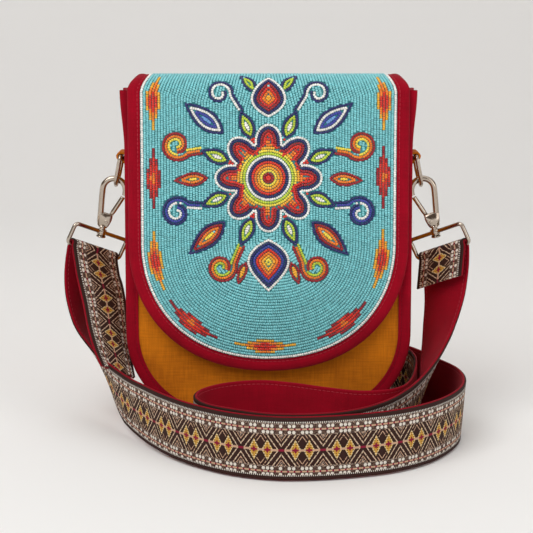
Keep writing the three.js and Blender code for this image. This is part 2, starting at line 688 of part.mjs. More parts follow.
const STAND = STRAP_WIDTH / 2 + 0.2;

// Rows hold shares of the loop bar's place and of the bag's depth, so that the ribbon follows both.
// The last number of a row is 1 where the ribbon leaves a tilted bar askew, and 0 where it runs square.
const ACROSS_SHARE = LOOP_BAR.x / 126.07;
const DEPTH_SHARE = (MOUTH_HALF_DEPTH + BASE_EXTRA_DEPTH) / 25;
const HEIGHT_SHARE = (LOOP_BAR.z - STAND) / (120.9 - 21.2);

function stations(rows) {
  return rows.map(([x, y, lift, a = 0, b = 0, c = 1, askew = 0]) => {
    const z = STAND + lift * HEIGHT_SHARE;
    const at = new THREE.Vector3(x * ACROSS_SHARE, y * DEPTH_SHARE, z);
    return [at, new THREE.Vector3(a, b, c).normalize(), askew];
  });
}

const [BAR_A, BAR_B, BAR_C] = BAR_DIRECTION.toArray();
const STRAP_STATIONS = [
  ...stations([
    [-105.5, -42, 20.8, -0.46, -0.78, 0.42],
    [-109.5, -34, 30.8, -0.52, -0.77, 0.36],
    [-113.8, -23, 45.8, -0.6, -0.74, 0.3],
    [-118, -11.5, 67.8, -0.67, -0.68, 0.3],
    [-122.6, -6.2, 86.8, -BAR_A, BAR_B, BAR_C, 1],
  ]),
  ...foldStations(-1).reverse(),
  ...stations([
    [-130, 2.2, 89.8, -0.69, -0.64, 0.34, 0.8],
    [-132.2, 2.4, 78.8, -0.62, -0.745, 0.24, 0.2],
    [-133.2, 1, 62.8, -0.5, -0.84, 0.19],
    [-130.5, -4.5, 45.3, -0.36, -0.91, 0.2],
    [-124, -15, 28.8, -0.18, -0.9, 0.4],
    [-114.5, -32, 14.8, -0.02, -0.76, 0.65],
    [-101, -56, 5.8, 0.08, -0.47, 0.88],
    [-83, -82, 1.8, 0.06, -0.2, 0.98],
    [-63, -108, 0.4, 0.02, -0.04, 1],
    [-43, -127, 0],
    [-20, -142, 0],
    [5, -149.5, 0],
    [30, -149, 0],
    [55, -144, 0],
    [80, -135, 0],
    [103, -119, 0, 0.03],
    [120, -98, 0, 0.05, -0.02],
    [131, -74, 0, 0.07],
    [134.5, -50, 0, 0.07],
    [132.5, -28, 0, 0.04],
    [125, -8, 0],
    [116, 13, 0],
    [105, 33, 0],
    [88, 49, 0],
    [62, 60, 0],
    [34, 65, 0],
    [4, 65, 0],
    [-24, 60, 0],
    [-40, 51, 0],
    [-42, 42, 0],
    [-32, 36, 0],
    [-12, 36, 0],
    [16, 40, 0],
    [46, 44, 0],
    [74, 43.5, 0],
    [93, 37, 0],
    [104, 23, 0],
    [107, 4, 0],
    [106, -16, 0],
    [103.5, -34, 0],
    [100.5, -50, 0],
    [96.5, -65, 0],
    [90.5, -78, 0],
    [80, -87, 0],
    [62, -90, 0],
    [38, -81, 0],
    [16, -70, 0],
    [-6, -64, 0],
    [-30, -71, 0],
    [-45, -86, 0],
    [-48.5, -103, 0],
    [-41, -119, 0],
    [-23, -132, 0],
    [3, -142.7, 0],
    [30, -142.5, 0],
    [52, -136, 0.2, -0.01],
    [72, -122, 1.4, -0.04, -0.1, 0.99],
    [90, -98, 4.3, -0.03, -0.32, 0.95],
    [103.5, -70, 10.3, 0.03, -0.6, 0.8],
    [113, -44, 20.3, 0.14, -0.82, 0.55],
    [119.5, -24, 34.3, 0.3, -0.89, 0.34],
    [124.2, -11, 50.8, 0.46, -0.85, 0.25],
    [127.4, -3.5, 67.8, 0.58, -0.77, 0.25],
    [128.4, 1.2, 85.8, 0.68, -0.64, 0.34, 0.8],
  ]),
  ...foldStations(1),
  ...stations([
    [123.6, -5.4, 88.8, BAR_A, BAR_B, BAR_C, 1],
    [122.6, -7.4, 77.8, BAR_A, BAR_B, BAR_C, 1],
  ]),
];

function strapRings() {
  const curve = new THREE.CatmullRomCurve3(STRAP_STATIONS.map(([at]) => at), false, "centripetal");
  const last = STRAP_STATIONS.length - 1;
  const steps = 2 * last;
  const rings = [];
  for (let i = 0; i <= steps; i += 1) {
    const t = i / steps;
    const at = curve.getPoint(t);
    const along = curve.getTangent(t);
    const index = Math.min(Math.floor(t * last), last - 1);
    const share = t * last - index;
    const [, nearAcross, nearAskew] = STRAP_STATIONS[index];
    const [, farAcross, farAskew] = STRAP_STATIONS[index + 1];
    const across = nearAcross.clone().lerp(farAcross, share).normalize();
    const askew = THREE.MathUtils.lerp(nearAskew, farAskew, share);
    across.addScaledVector(along, -across.dot(along) * (1 - askew)).normalize();
    const face = new THREE.Vector3().crossVectors(across, along).normalize();
    const corners = [[-1, -1], [1, -1], [1, 1], [-1, 1]];
    rings.push(
      corners.map(([a, b]) =>
        at
          .clone()
          .addScaledVector(across, (a * STRAP_WIDTH) / 2)
          .addScaledVector(face, (b * STRAP_SHEET) / 2),
      ),
    );
  }
  return rings;
}

// Assembly.

const group = new THREE.Group();

function material(color, roughness, metalness = 0) {
  return new THREE.MeshStandardMaterial({ color, roughness, metalness });
}

function add(name, solid, look) {
  const mesh = new THREE.Mesh(geometryOf(solid), look());
  mesh.name = name;
  group.add(mesh);
}

const twill = () => material(0xb8761c, 0.85);
const crimson = () => material(0xa00c28, 0.75);
const cloth = () => material(0x8a5a1a, 0.9);
const turquoise = () => material(0x5fb4b4, 0.35);
const whiteBeads = () => material(0xe8e6e0, 0.3);
const orangeBeads = () => material(0xf0951f, 0.3);
const redBeads = () => material(0x9c1220, 0.3);
const navyBeads = () => material(0x1b1f5c, 0.3);
const nickel = () => material(0xb9b5ae, 0.25, 1);
const webbing = () => material(0x7a5a48, 0.85);

add("front_panel", panel(-1), twill);
add("back_panel", panel(1), twill);
add("gusset", gusset(), twill);
add("front_binding", bodyBinding(-1), crimson);
add("back_binding", bodyBinding(1), crimson);
add("front_hem", frontHem(), crimson);
add("left_gusset_hem", gussetHem(-1), crimson);
add("right_gusset_hem", gussetHem(1), crimson);
add("lining", lining(), cloth);

const anchorHalf = FLAP_HALF_WIDTH - EDGE_INSET;
const anchorShape = [
  [-anchorHalf, HINGE_Z - ANCHOR_HEIGHT],
  [anchorHalf, HINGE_Z - ANCHOR_HEIGHT],
  [anchorHalf, HINGE_Z - 0.15],
  [-anchorHalf, HINGE_Z - 0.15],
];
add("flap_anchor", alongY(anchorShape, ANCHOR_START_Y, ANCHOR_START_Y + FLAP_BACKING), crimson);

add("flap_backing", flapBand(BACKING_IN, BACKING_OUT).intersect(flapPrism(EDGE_INSET)), crimson);
add("flap_binding", flapBinding(), crimson);
const beadBand = flapBand(BEADS_IN, BEADS_OUT);
const edgeRow = flapPrism(EDGE_ROW_INSET).subtract(flapPrism(EDGE_ROW_INSET + EDGE_ROW_WIDTH));
add("bead_edge_row", beadBand.intersect(edgeRow), whiteBeads);

const lozengePair = { top: orangeBeads, upper: redBeads, lower: orangeBeads, base: redBeads };
const ornamentLooks = Object.values(lozengePair).flatMap((look) => [look, look]);
let field = beadBand.intersect(flapPrism(FIELD_INSET));
Object.entries(ORNAMENTS).forEach(([name, shape], i) => {
  const look = i < 8 ? ornamentLooks[i] : i === 8 || name.startsWith("leaf") ? orangeBeads : navyBeads;
  let solid = beadBand.intersect(alongY(grown(shape, -GAP / 2), -60, 0));
  if (name === "flower_petals") {
    const core = arcPoints([0, ROSETTE_Z], CORE_RADIUS, 0, 342, 19);
    solid = solid.subtract(alongY(grown(core, GAP / 2), -60, 0));
    add("flower_core", beadBand.intersect(alongY(grown(core, -GAP / 2), -60, 0)), redBeads);
  }
  add(name, solid, look);
  field = field.subtract(alongY(grown(shape, GAP / 2), -60, 0));
});
add("bead_field", field, turquoise);

const towardFront = new THREE.Vector3(0, -1, 0);
const panelFaceY = -halfDepthAt(SNAP_Z) - SHEET / 2;
const socketFrom = new THREE.Vector3(0, panelFaceY - GAP, SNAP_Z);
add("snap_socket", cylinderAt(SNAP_SOCKET_RADIUS, SNAP_SOCKET_HEIGHT, socketFrom, towardFront, 20), nickel);
const downShare = (HINGE_Z - SNAP_Z) / (HINGE_Z - FLAP_BOTTOM_Z);
const standOff = FLAP_STAND_OFF_TOP + (FLAP_STAND_OFF_BOTTOM - FLAP_STAND_OFF_TOP) * downShare;
const backingY = -halfDepthAt(SNAP_Z) - standOff - BACKING_IN;
const studFrom = new THREE.Vector3(0, backingY + 2 * GAP + SNAP_STUD_HEIGHT, SNAP_Z);
add("snap_stud", cylinderAt(SNAP_STUD_RADIUS, SNAP_STUD_HEIGHT, studFrom, towardFront, 20), nickel);

for (const [word, side] of [
  ["left", -1],
  ["right", 1],
]) {
  add(word + "_tab", tabSolid(side), crimson);
  add(word + "_ring", ringSolid(side), nickel);
  add(word + "_hook", hookSolid(side), nickel);
  add(word + "_gate", gateSolid(side), nickel);
  add(word + "_gate_pin", pinSolid(side), nickel);
  add(word + "_gate_spring", springSolid(side), nickel);
  add(word + "_loop", loopSolid(side), nickel);
}

add("strap", loft(strapRings(), false), webbing);

// The frame's origin is under the middle of the whole object, on the floor.
const bounds = new THREE.Box3().setFromObject(group);
const middle = bounds.getCenter(new THREE.Vector3());
group.position.set(-middle.x, -middle.y, -bounds.min.z);

export default group;
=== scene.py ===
"""A beaded crossbody bag: cloth body, beaded flap, swivel hooks and a long patterned strap.

Sizes are millimetres about the bag's own middle, and each finished mesh is placed in the frame in metres.
"""

import logging
import math
import random
from dataclasses import dataclass, field
from enum import Enum, IntEnum
from functools import partial

import bmesh
import bpy
import numpy as np
from mathutils import Matrix, Vector
from mathutils.kdtree import KDTree


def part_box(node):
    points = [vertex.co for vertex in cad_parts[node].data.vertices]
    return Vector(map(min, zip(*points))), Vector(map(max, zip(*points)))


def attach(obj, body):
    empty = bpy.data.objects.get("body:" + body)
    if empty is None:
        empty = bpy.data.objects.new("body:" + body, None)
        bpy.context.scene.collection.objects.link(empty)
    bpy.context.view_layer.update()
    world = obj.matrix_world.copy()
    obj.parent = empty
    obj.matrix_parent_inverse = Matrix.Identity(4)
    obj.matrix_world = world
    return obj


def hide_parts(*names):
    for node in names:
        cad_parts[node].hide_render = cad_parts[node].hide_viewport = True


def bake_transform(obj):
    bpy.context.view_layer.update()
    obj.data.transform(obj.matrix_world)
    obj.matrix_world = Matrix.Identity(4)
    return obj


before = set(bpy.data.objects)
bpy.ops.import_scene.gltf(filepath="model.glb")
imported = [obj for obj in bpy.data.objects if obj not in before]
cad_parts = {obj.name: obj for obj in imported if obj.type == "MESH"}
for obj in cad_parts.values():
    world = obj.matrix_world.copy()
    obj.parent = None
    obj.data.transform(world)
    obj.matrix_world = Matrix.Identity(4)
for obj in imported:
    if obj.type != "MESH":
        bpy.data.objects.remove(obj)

log = logging.getLogger("bag")

MM = 0.001
UV_NAME = "cloth_mm"

Array, Thing, Finish, Tree = np.ndarray, bpy.types.Object, bpy.types.Material, bpy.types.NodeTree


def linear(hex_colour: str) -> tuple[float, float, float, float]:
    """Turns an sRGB hex colour into the linear colour that shaders use.

    Args:
        hex_colour: Six hex digits after a hash sign.

    Returns:
        Linear red, green, blue and an alpha of one.
    """
    channels = [int(hex_colour[i : i + 2], 16) / 255 for i in (1, 3, 5)]
    curve = [c / 12.92 if c <= 0.04045 else ((c + 0.055) / 1.055) ** 2.4 for c in channels]
    return curve[0], curve[1], curve[2], 1.0


def frame_shift() -> Array:
    """Finds where the bag's own middle lies in the frame.

    Returns:
        The shift from the bag's middle to the frame's origin, in millimetres.
    """
    panel_low, panel_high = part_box("front_panel")
    front_low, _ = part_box("front_binding")
    _, back_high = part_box("back_binding")
    return np.array([(panel_low.x + panel_high.x) / 2, (front_low.y + back_high.y) / 2, 0.0]) / MM


SHIFT = frame_shift()


def placed(points: Array) -> Array:
    """Moves points from millimetres about the bag's middle to metres in the frame."""
    return (np.asarray(points, float) + SHIFT) * MM


def smooth(value: Array, low: float, high: float) -> Array:
    """Eases a value from 0 at low to 1 at high."""
    share = np.clip((np.asarray(value, float) - low) / (high - low), 0, 1)
    return share * share * (3 - 2 * share)


def unit(vectors: Array) -> Array:
    """Scales vectors, held in the last axis, to a length of one."""
    length = np.linalg.norm(vectors, axis=-1, keepdims=True)
    return vectors / np.maximum(length, 1e-9)


def run_along(line: Array) -> Array:
    """Gives the distance along a line at each of its points."""
    return np.concatenate([[0], np.cumsum(np.linalg.norm(np.diff(line, axis=0), axis=1))])


def left_of(line: Array) -> Array:
    """Gives the direction square to a flat line, on the left of its way, at each of its points."""
    way = unit(np.gradient(line, axis=0))
    return columns(-way[:, 1], way[:, 0])


def columns(*parts: Array) -> Array:
    """Spreads sets of numbers over one grid and puts them side by side in a new last axis."""
    return np.stack(np.broadcast_arrays(*parts), axis=-1)


def linked(name: str, data: bpy.types.ID) -> Thing:
    """Puts data in the scene as an object with that name.

    Args:
        name: The object's name.
        data: Its mesh, lamp or camera.

    Returns:
        The new object.
    """
    thing = bpy.data.objects.new(name, data)
    bpy.context.scene.collection.objects.link(thing)
    return thing


def resampled(points: Array, step: float, closed: bool = False) -> Array:
    """Spreads points evenly along a line.

    Args:
        points: The line's points, one in each row.
        step: The wanted distance between points.
        closed: True where the line's end joins its start.

    Returns:
        Points at an even distance, close to the step.
    """
    line = np.vstack([points, points[:1]]) if closed else points
    run = run_along(line)
    count = max(int(round(run[-1] / step)), 1)
    at = np.linspace(0, run[-1], count + 1)
    if closed:
        at = at[:-1]
    return columns(*[np.interp(at, run, line[:, i]) for i in range(line.shape[1])])


def arc(centre: tuple[float, float], radius: float, start: float, end: float, steps: int) -> Array:
    """Gives points on an arc.

    Args:
        centre: The arc's centre.
        radius: The arc's radius.
        start: The first angle, in degrees.
        end: The last angle, in degrees.
        steps: How many runs the arc has.

    Returns:
        The arc's points, one in each row.
    """
    angle = np.radians(np.linspace(start, end, steps + 1))
    return columns(centre[0] + radius * np.cos(angle), centre[1] + radius * np.sin(angle))


def rounded(corners: list[tuple[float, float]], radius: float, steps: int = 3) -> Array:
    """Rounds the corners of a closed outline.

    Args:
        corners: The sharp corners in order.
        radius: How far from a corner its rounding starts, at most.
        steps: How many runs each rounded corner has.

    Returns:
        The rounded outline's points.
    """
    sharp = np.array(corners, float)
    points = []
    for i, corner in enumerate(sharp):
        before, after = sharp[i - 1], sharp[(i + 1) % len(sharp)]
        reach_in = min(radius, 0.45 * np.linalg.norm(before - corner))
        reach_out = min(radius, 0.45 * np.linalg.norm(after - corner))
        start = corner + unit(before - corner) * reach_in
        end = corner + unit(after - corner) * reach_out
        for k in range(steps + 1):
            t = k / steps
            points.append((1 - t) ** 2 * start + 2 * t * (1 - t) * corner + t * t * end)
    return np.array(points)


def tube_piece(
    name: str, rings: Array, material: Finish, uvs: Array | None = None, crisp: float = 50, closed: bool = False
) -> Thing:
    """Joins rings of points side by side into a closed body.

    Args:
        name: The object's name.
        rings: An array of rings, ring points and coordinates.
        material: The body's finish.
        uvs: Pattern coordinates of every ring point.
        crisp: The angle above which an edge stays crisp.
        closed: True where the last ring joins the first.

    Returns:
        The new object.
    """
    count, size = rings.shape[:2]
    faces = []
    for i in range(count if closed else count - 1):
        near, far = i * size, (i + 1) % count * size
        faces += [(near + j, near + (j + 1) % size, far + (j + 1) % size, far + j) for j in range(size)]
    if not closed:
        last = (count - 1) * size
        faces += [tuple(reversed(range(size))), tuple(range(last, last + size))]
    flat_uvs = np.zeros((count * size, 2)) if uvs is None else uvs.reshape(-1, 2)
    return finished(name, rings.reshape(-1, 3), flat_uvs, faces, material, crisp)


def sheet_piece(name: str, outer: Array, inner: Array, uvs: Array, material: Finish) -> Thing:
    """Builds a closed sheet between two grids of points.

    Args:
        name: The object's name.
        outer: The outer grid, as rows, columns and coordinates.
        inner: The inner grid, of the same shape.
        uvs: Pattern coordinates of the grid.
        material: The sheet's finish.

    Returns:
        The new object.
    """
    rows, cols = outer.shape[:2]
    low = rows * cols
    faces = []
    for i in range(rows - 1):
        for a in range(i * cols, i * cols + cols - 1):
            faces.append((a, a + 1, a + cols + 1, a + cols))
            faces.append((low + a, low + a + cols, low + a + cols + 1, low + a + 1))
    rim = list(range(cols)) + [i * cols + cols - 1 for i in range(1, rows)]
    rim += [(rows - 1) * cols + j for j in range(cols - 2, -1, -1)] + [i * cols for i in range(rows - 2, 0, -1)]
    faces += [(b, a, low + a, low + b) for a, b in zip(rim, rim[1:] + rim[:1])]
    points = np.vstack([outer.reshape(-1, 3), inner.reshape(-1, 3)])
    return finished(name, points, np.vstack([uvs.reshape(-1, 2)] * 2), faces, material, 60)


def finished(name: str, points: Array, uvs: Array, faces: list, material: Finish, crisp: float) -> Thing:
    """Makes an object in the frame, with its faces turned outwards.

    Args:
        name: The object's name.
        points: Its points in millimetres.
        uvs: Pattern coordinates in millimetres, one row for each point.
        faces: Its faces, as numbers of points.
        material: The finish of all its faces.
        crisp: The angle above which an edge stays crisp.

    Returns:
        The new object.
    """
    mesh = bpy.data.meshes.new(name)
    mesh.from_pydata(placed(points).tolist(), [], faces)
    layer = mesh.uv_layers.new(name=UV_NAME)
    corners = np.zeros(len(mesh.loops), np.int32)
    mesh.loops.foreach_get("vertex_index", corners)
    layer.data.foreach_set("uv", uvs[corners].astype(np.float32).ravel())
    turner = bmesh.new()
    turner.from_mesh(mesh)
    bmesh.ops.remove_doubles(turner, verts=turner.verts, dist=1e-7)
    bmesh.ops.recalc_face_normals(turner, faces=turner.faces)
    turner.to_mesh(mesh)
    turner.free()
    mesh.polygons.foreach_set("use_smooth", [True] * len(mesh.polygons))
    mesh.materials.append(material)
    thing = linked(name, mesh)
    mesh.set_sharp_from_angle(angle=math.radians(crisp))
    return thing


def rides(thing: Thing, body: str, slot: str, *nodes: str) -> None:
    """Puts a piece on its body and reports it.

    Args:
        thing: The finished piece.
        body: The body that it moves with.
        slot: Not used.
        *nodes: The frame nodes that it stands for.
    """
    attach(thing, body)
    if nodes:
        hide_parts(*nodes)
    log.info("%s: %d faces on %s", thing.name, len(thing.data.polygons), body)


def add_node(tree: Tree, kind: str, links: dict | list | None = None, **settings: object) -> bpy.types.Node:
    """Adds a node with its settings and links.

    Args:
        tree: The tree that gets the node.
        kind: The node's type name, or the operation of a maths node in capitals.
        links: Values or sockets for its inputs, by input name or number, or in order.
        **settings: Values for the node's own properties.

    Returns:
        The new node.
    """
    if kind.isupper():
        kind, settings = "ShaderNodeMath", {"operation": kind}
    node = tree.nodes.new(kind)
    for key, value in settings.items():
        setattr(node, key, value)
    for key, value in enumerate(links) if isinstance(links, list) else (links or {}).items():
        if isinstance(value, bpy.types.Node):
            value = next(out for out in value.outputs if out.enabled)
        if isinstance(value, bpy.types.NodeSocket):
            tree.links.new(value, node.inputs[key])
        elif value is not None:
            node.inputs[key].default_value = value
    return node


# Finishes.

MIX = "ShaderNodeMix"
COLOUR_A, COLOUR_B = 6, 7


class NodeSheet:
    """A material in the making, whose nodes are kept under short names that later nodes are linked to."""

    def __init__(self, name: str, **constants: object) -> None:
        """Starts a material.

        Args:
            name: The material's name.
            **constants: Values for the shader's own sockets, with an underscore for a space.
        """
        self.finish = bpy.data.materials.new(name)
        self.finish.use_nodes = True
        self.tree = self.finish.node_tree
        self.shader = self.tree.nodes["Principled BSDF"]
        self.known: dict[str, bpy.types.NodeSocket] = {}
        for key, value in constants.items():
            self.shader.inputs[key.replace("_", " ")].default_value = value

    def add(self, name: str, kind: str, *links: object, output: object = 0, **settings: object) -> None:
        """Adds a node and keeps one of its outputs under a name.

        Args:
            name: The name for its output.
            kind: The node's type name, or the operation of a maths node.
            *links: Its inputs in order, as values or as names of earlier outputs, or one dict of them.
            output: Which output to keep.
            **settings: Values for the node's own properties.
        """
        pairs = links[0] if links and isinstance(links[0], dict) else dict(enumerate(links))
        found = {key: self.known[value] if isinstance(value, str) else value for key, value in pairs.items()}
        self.known[name] = add_node(self.tree, kind, found, **settings).outputs[output]

    def grid(self) -> None:
        """Adds the cloth's own grid in millimetres as "grid", and its two directions as "along" and "down"."""
        self.add("grid", "ShaderNodeUVMap", uv_map=UV_NAME)
        parts = add_node(self.tree, "ShaderNodeSeparateXYZ", [self.known["grid"]])
        self.known.update(along=parts.outputs[0], down=parts.outputs[1])

    def away(self, name: str, value: object, line: object) -> None:
        """Keeps how far a value lies from a line, on either side."""
        self.add(name, "SUBTRACT", value, line)
        self.add(name, "ABSOLUTE", name)

    def ridges(self, name: str, value: str, pace: float) -> None:
        """Keeps the height of threads that lie side by side along a value.

        Args:
            name: The name for the height.
            value: The name of the value.
            pace: Half a turn over a thread's width.
        """
        self.add(name, "MULTIPLY", value, pace)
        self.add(name, "SINE", name)
        self.add(name, "ABSOLUTE", name)

    def layer(self, name: str, mask: str, under: object, over: object) -> None:
        """Lays one colour over another where a mask is one, and keeps the result under a name.

        Args:
            name: The name for the result.
            mask: The name of the mask.
            under: The colour where the mask is nothing.
            over: The colour where it is one.
        """
        self.add(name, MIX, {0: mask, COLOUR_A: under, COLOUR_B: over}, output=2, data_type="RGBA")

    def wear(self, **inputs: str) -> Finish:
        """Links the shader's inputs to kept outputs, and gives the finished material.

        Args:
            **inputs: Names of kept outputs by the shader's sockets, with an underscore for a space.

        Returns:
            The finished material.
        """
        for key, value in inputs.items():
            self.tree.links.new(self.known[value], self.shader.inputs[key.replace("_", " ")])
        return self.finish


@dataclass(frozen=True)
class WovenCloth:
    """A woven cotton cloth: threads cross over and under, or in twill's slanting ribs, with slubs and fading."""

    name: str
    colour: str
    shade: str
    thread: float = 1.0
    slub: float = 0.5
    depth: float = 0.12
    roughness: float = 0.85
    sheen: float = 0.04
    rib: float = 0.0

    def material(self) -> Finish:
        """Builds the cloth's material, with thread spacing in millimetres read from the cloth's own grid.

        Returns:
            The finished material.
        """
        # The eye reads crossing threads close by, slubs along both ways, and slow fading from afar. Slubs and fading
        # are the cloth's own tone; the crossing threads' tone is painted shade from their height.
        sheet = NodeSheet(
            self.name, Roughness=self.roughness, Sheen_Weight=self.sheen, Sheen_Roughness=0.5, Specular_IOR_Level=0.12
        )
        sheet.grid()
        for wave, axis in (("wave_a", "along"), ("wave_b", "down")):
            sheet.ridges(wave, axis, math.pi / self.thread)
        sheet.add("cells", "ShaderNodeTexChecker", {"Vector": "grid", "Scale": 1 / self.thread}, output=1)
        sheet.add("over", MIX, {0: "cells", 2: "wave_a", 3: "wave_b"}, data_type="FLOAT")
        if self.rib:
            sheet.add("slant", "ADD", "along", "down")
            sheet.ridges("slant", "slant", math.pi / self.rib)
            sheet.add("over", MIX, {0: 0.65, 2: "over", 3: "slant"}, data_type="FLOAT")
        for name, scale in (("slubs", (0.9, 0.07, 1.0)), ("cross_slubs", (0.06, 0.9, 1.0))):
            sheet.add("stretch", "ShaderNodeMapping", {0: "grid", "Scale": scale})
            sheet.add(name, "ShaderNodeTexNoise", {"Vector": "stretch", "Scale": 1.0, "Detail": 4.0})
        sheet.add("patches", "ShaderNodeTexNoise", {"Vector": "grid", "Scale": 0.028, "Detail": 3.0})
        sheet.add("slubs", "ADD", "slubs", "cross_slubs")
        sheet.add("tone", "MULTIPLY_ADD", "slubs", self.slub, "patches")
        # Painted shade: where a thread lies lower, the colour leans to the darker one.
        sheet.add("tone", "MULTIPLY_ADD", "over", 0.30, "tone")
        sheet.add("share", "ShaderNodeMapRange", {"Value": "tone", 1: 0.62, 2: 1.62})
        sheet.layer("colour", "share", linear(self.shade), linear(self.colour))
        sheet.add("height", "MULTIPLY_ADD", "slubs", 0.5, "over")
        sheet.add("bump", "ShaderNodeBump", {"Height": "height", "Strength": 0.5, "Distance": self.depth * MM})
        return sheet.wear(Base_Color="colour", Normal="bump")


@dataclass(frozen=True)
class SeedBeadGlass:
    """Small glass beads: an opaque body colour under a smooth fire-polished skin."""

    name: str = "seed_bead_glass"
    coat: float = 0.35

    def material(self) -> Finish:
        """Builds the glass, whose colour each bead carries itself.

        Returns:
            The finished material.
        """
        # The eye reads a small highlight on every bead, sharper on some than on others.
        sheet = NodeSheet(self.name, Coat_Weight=self.coat, Coat_Roughness=0.15, IOR=1.5)
        sheet.add("dye", "ShaderNodeAttribute", attribute_name="bead_colour", attribute_type="GEOMETRY")
        sheet.add("place", "ShaderNodeTexCoord", output="Object")
        sheet.add("polish", "ShaderNodeTexNoise", {"Vector": "place", "Scale": 300.0})
        sheet.add("gloss", "ShaderNodeMapRange", {"Value": "polish", 3: 0.2, 4: 0.42})
        return sheet.wear(Base_Color="dye", Roughness="gloss")


@dataclass(frozen=True)
class PolishedNickel:
    """Die-cast hardware with a bright nickel plate: nearly a mirror, with faint handling marks."""

    name: str = "polished_nickel_plate"
    colour: str = "#b3a698"

    def material(self) -> Finish:
        """Builds the plate, with marks a few millimetres apart.

        Returns:
            The finished material.
        """
        # The eye reads a bright curved mirror that handling has dulled in places.
        sheet = NodeSheet(self.name, Base_Color=linear(self.colour), Metallic=1.0)
        sheet.add("place", "ShaderNodeTexCoord", output="Object")
        sheet.add("marks", "ShaderNodeTexNoise", {"Vector": "place", "Scale": 420.0, "Detail": 5.0})
        sheet.add("gloss", "ShaderNodeMapRange", {"Value": "marks", 1: 0.35, 2: 0.75, 3: 0.1, 4: 0.24})
        sheet.add("ripple", "ShaderNodeTexNoise", {"Vector": "place", "Scale": 160.0})
        sheet.add("bump", "ShaderNodeBump", {"Height": "ripple", "Strength": 0.15, "Distance": 0.2 * MM})
        return sheet.wear(Roughness="gloss", Normal="bump")


@dataclass(frozen=True)
class SewingThread:
    """Twisted polyester thread, a little brighter than the cloth it holds."""

    name: str
    colour: str

    def material(self) -> Finish:
        """Builds the thread, with painted shade where it twists, in patches finer than a millimetre.

        Returns:
            The finished material.
        """
        # The eye reads stitches that are lit on one side and darker where the thread twists away; that shade is painted
        # into the colour by noise.
        sheet = NodeSheet(self.name, Roughness=0.7, Specular_IOR_Level=0.15)
        # The darker colour is painted shade.
        deep = tuple(0.6 * c for c in linear(self.colour)[:3]) + (1.0,)
        sheet.add("place", "ShaderNodeTexCoord", output="Object")
        sheet.add("twist_shade", "ShaderNodeTexNoise", {"Vector": "place", "Scale": 1500.0})
        sheet.layer("colour", "twist_shade", deep, linear(self.colour))
        return sheet.wear(Base_Color="colour")


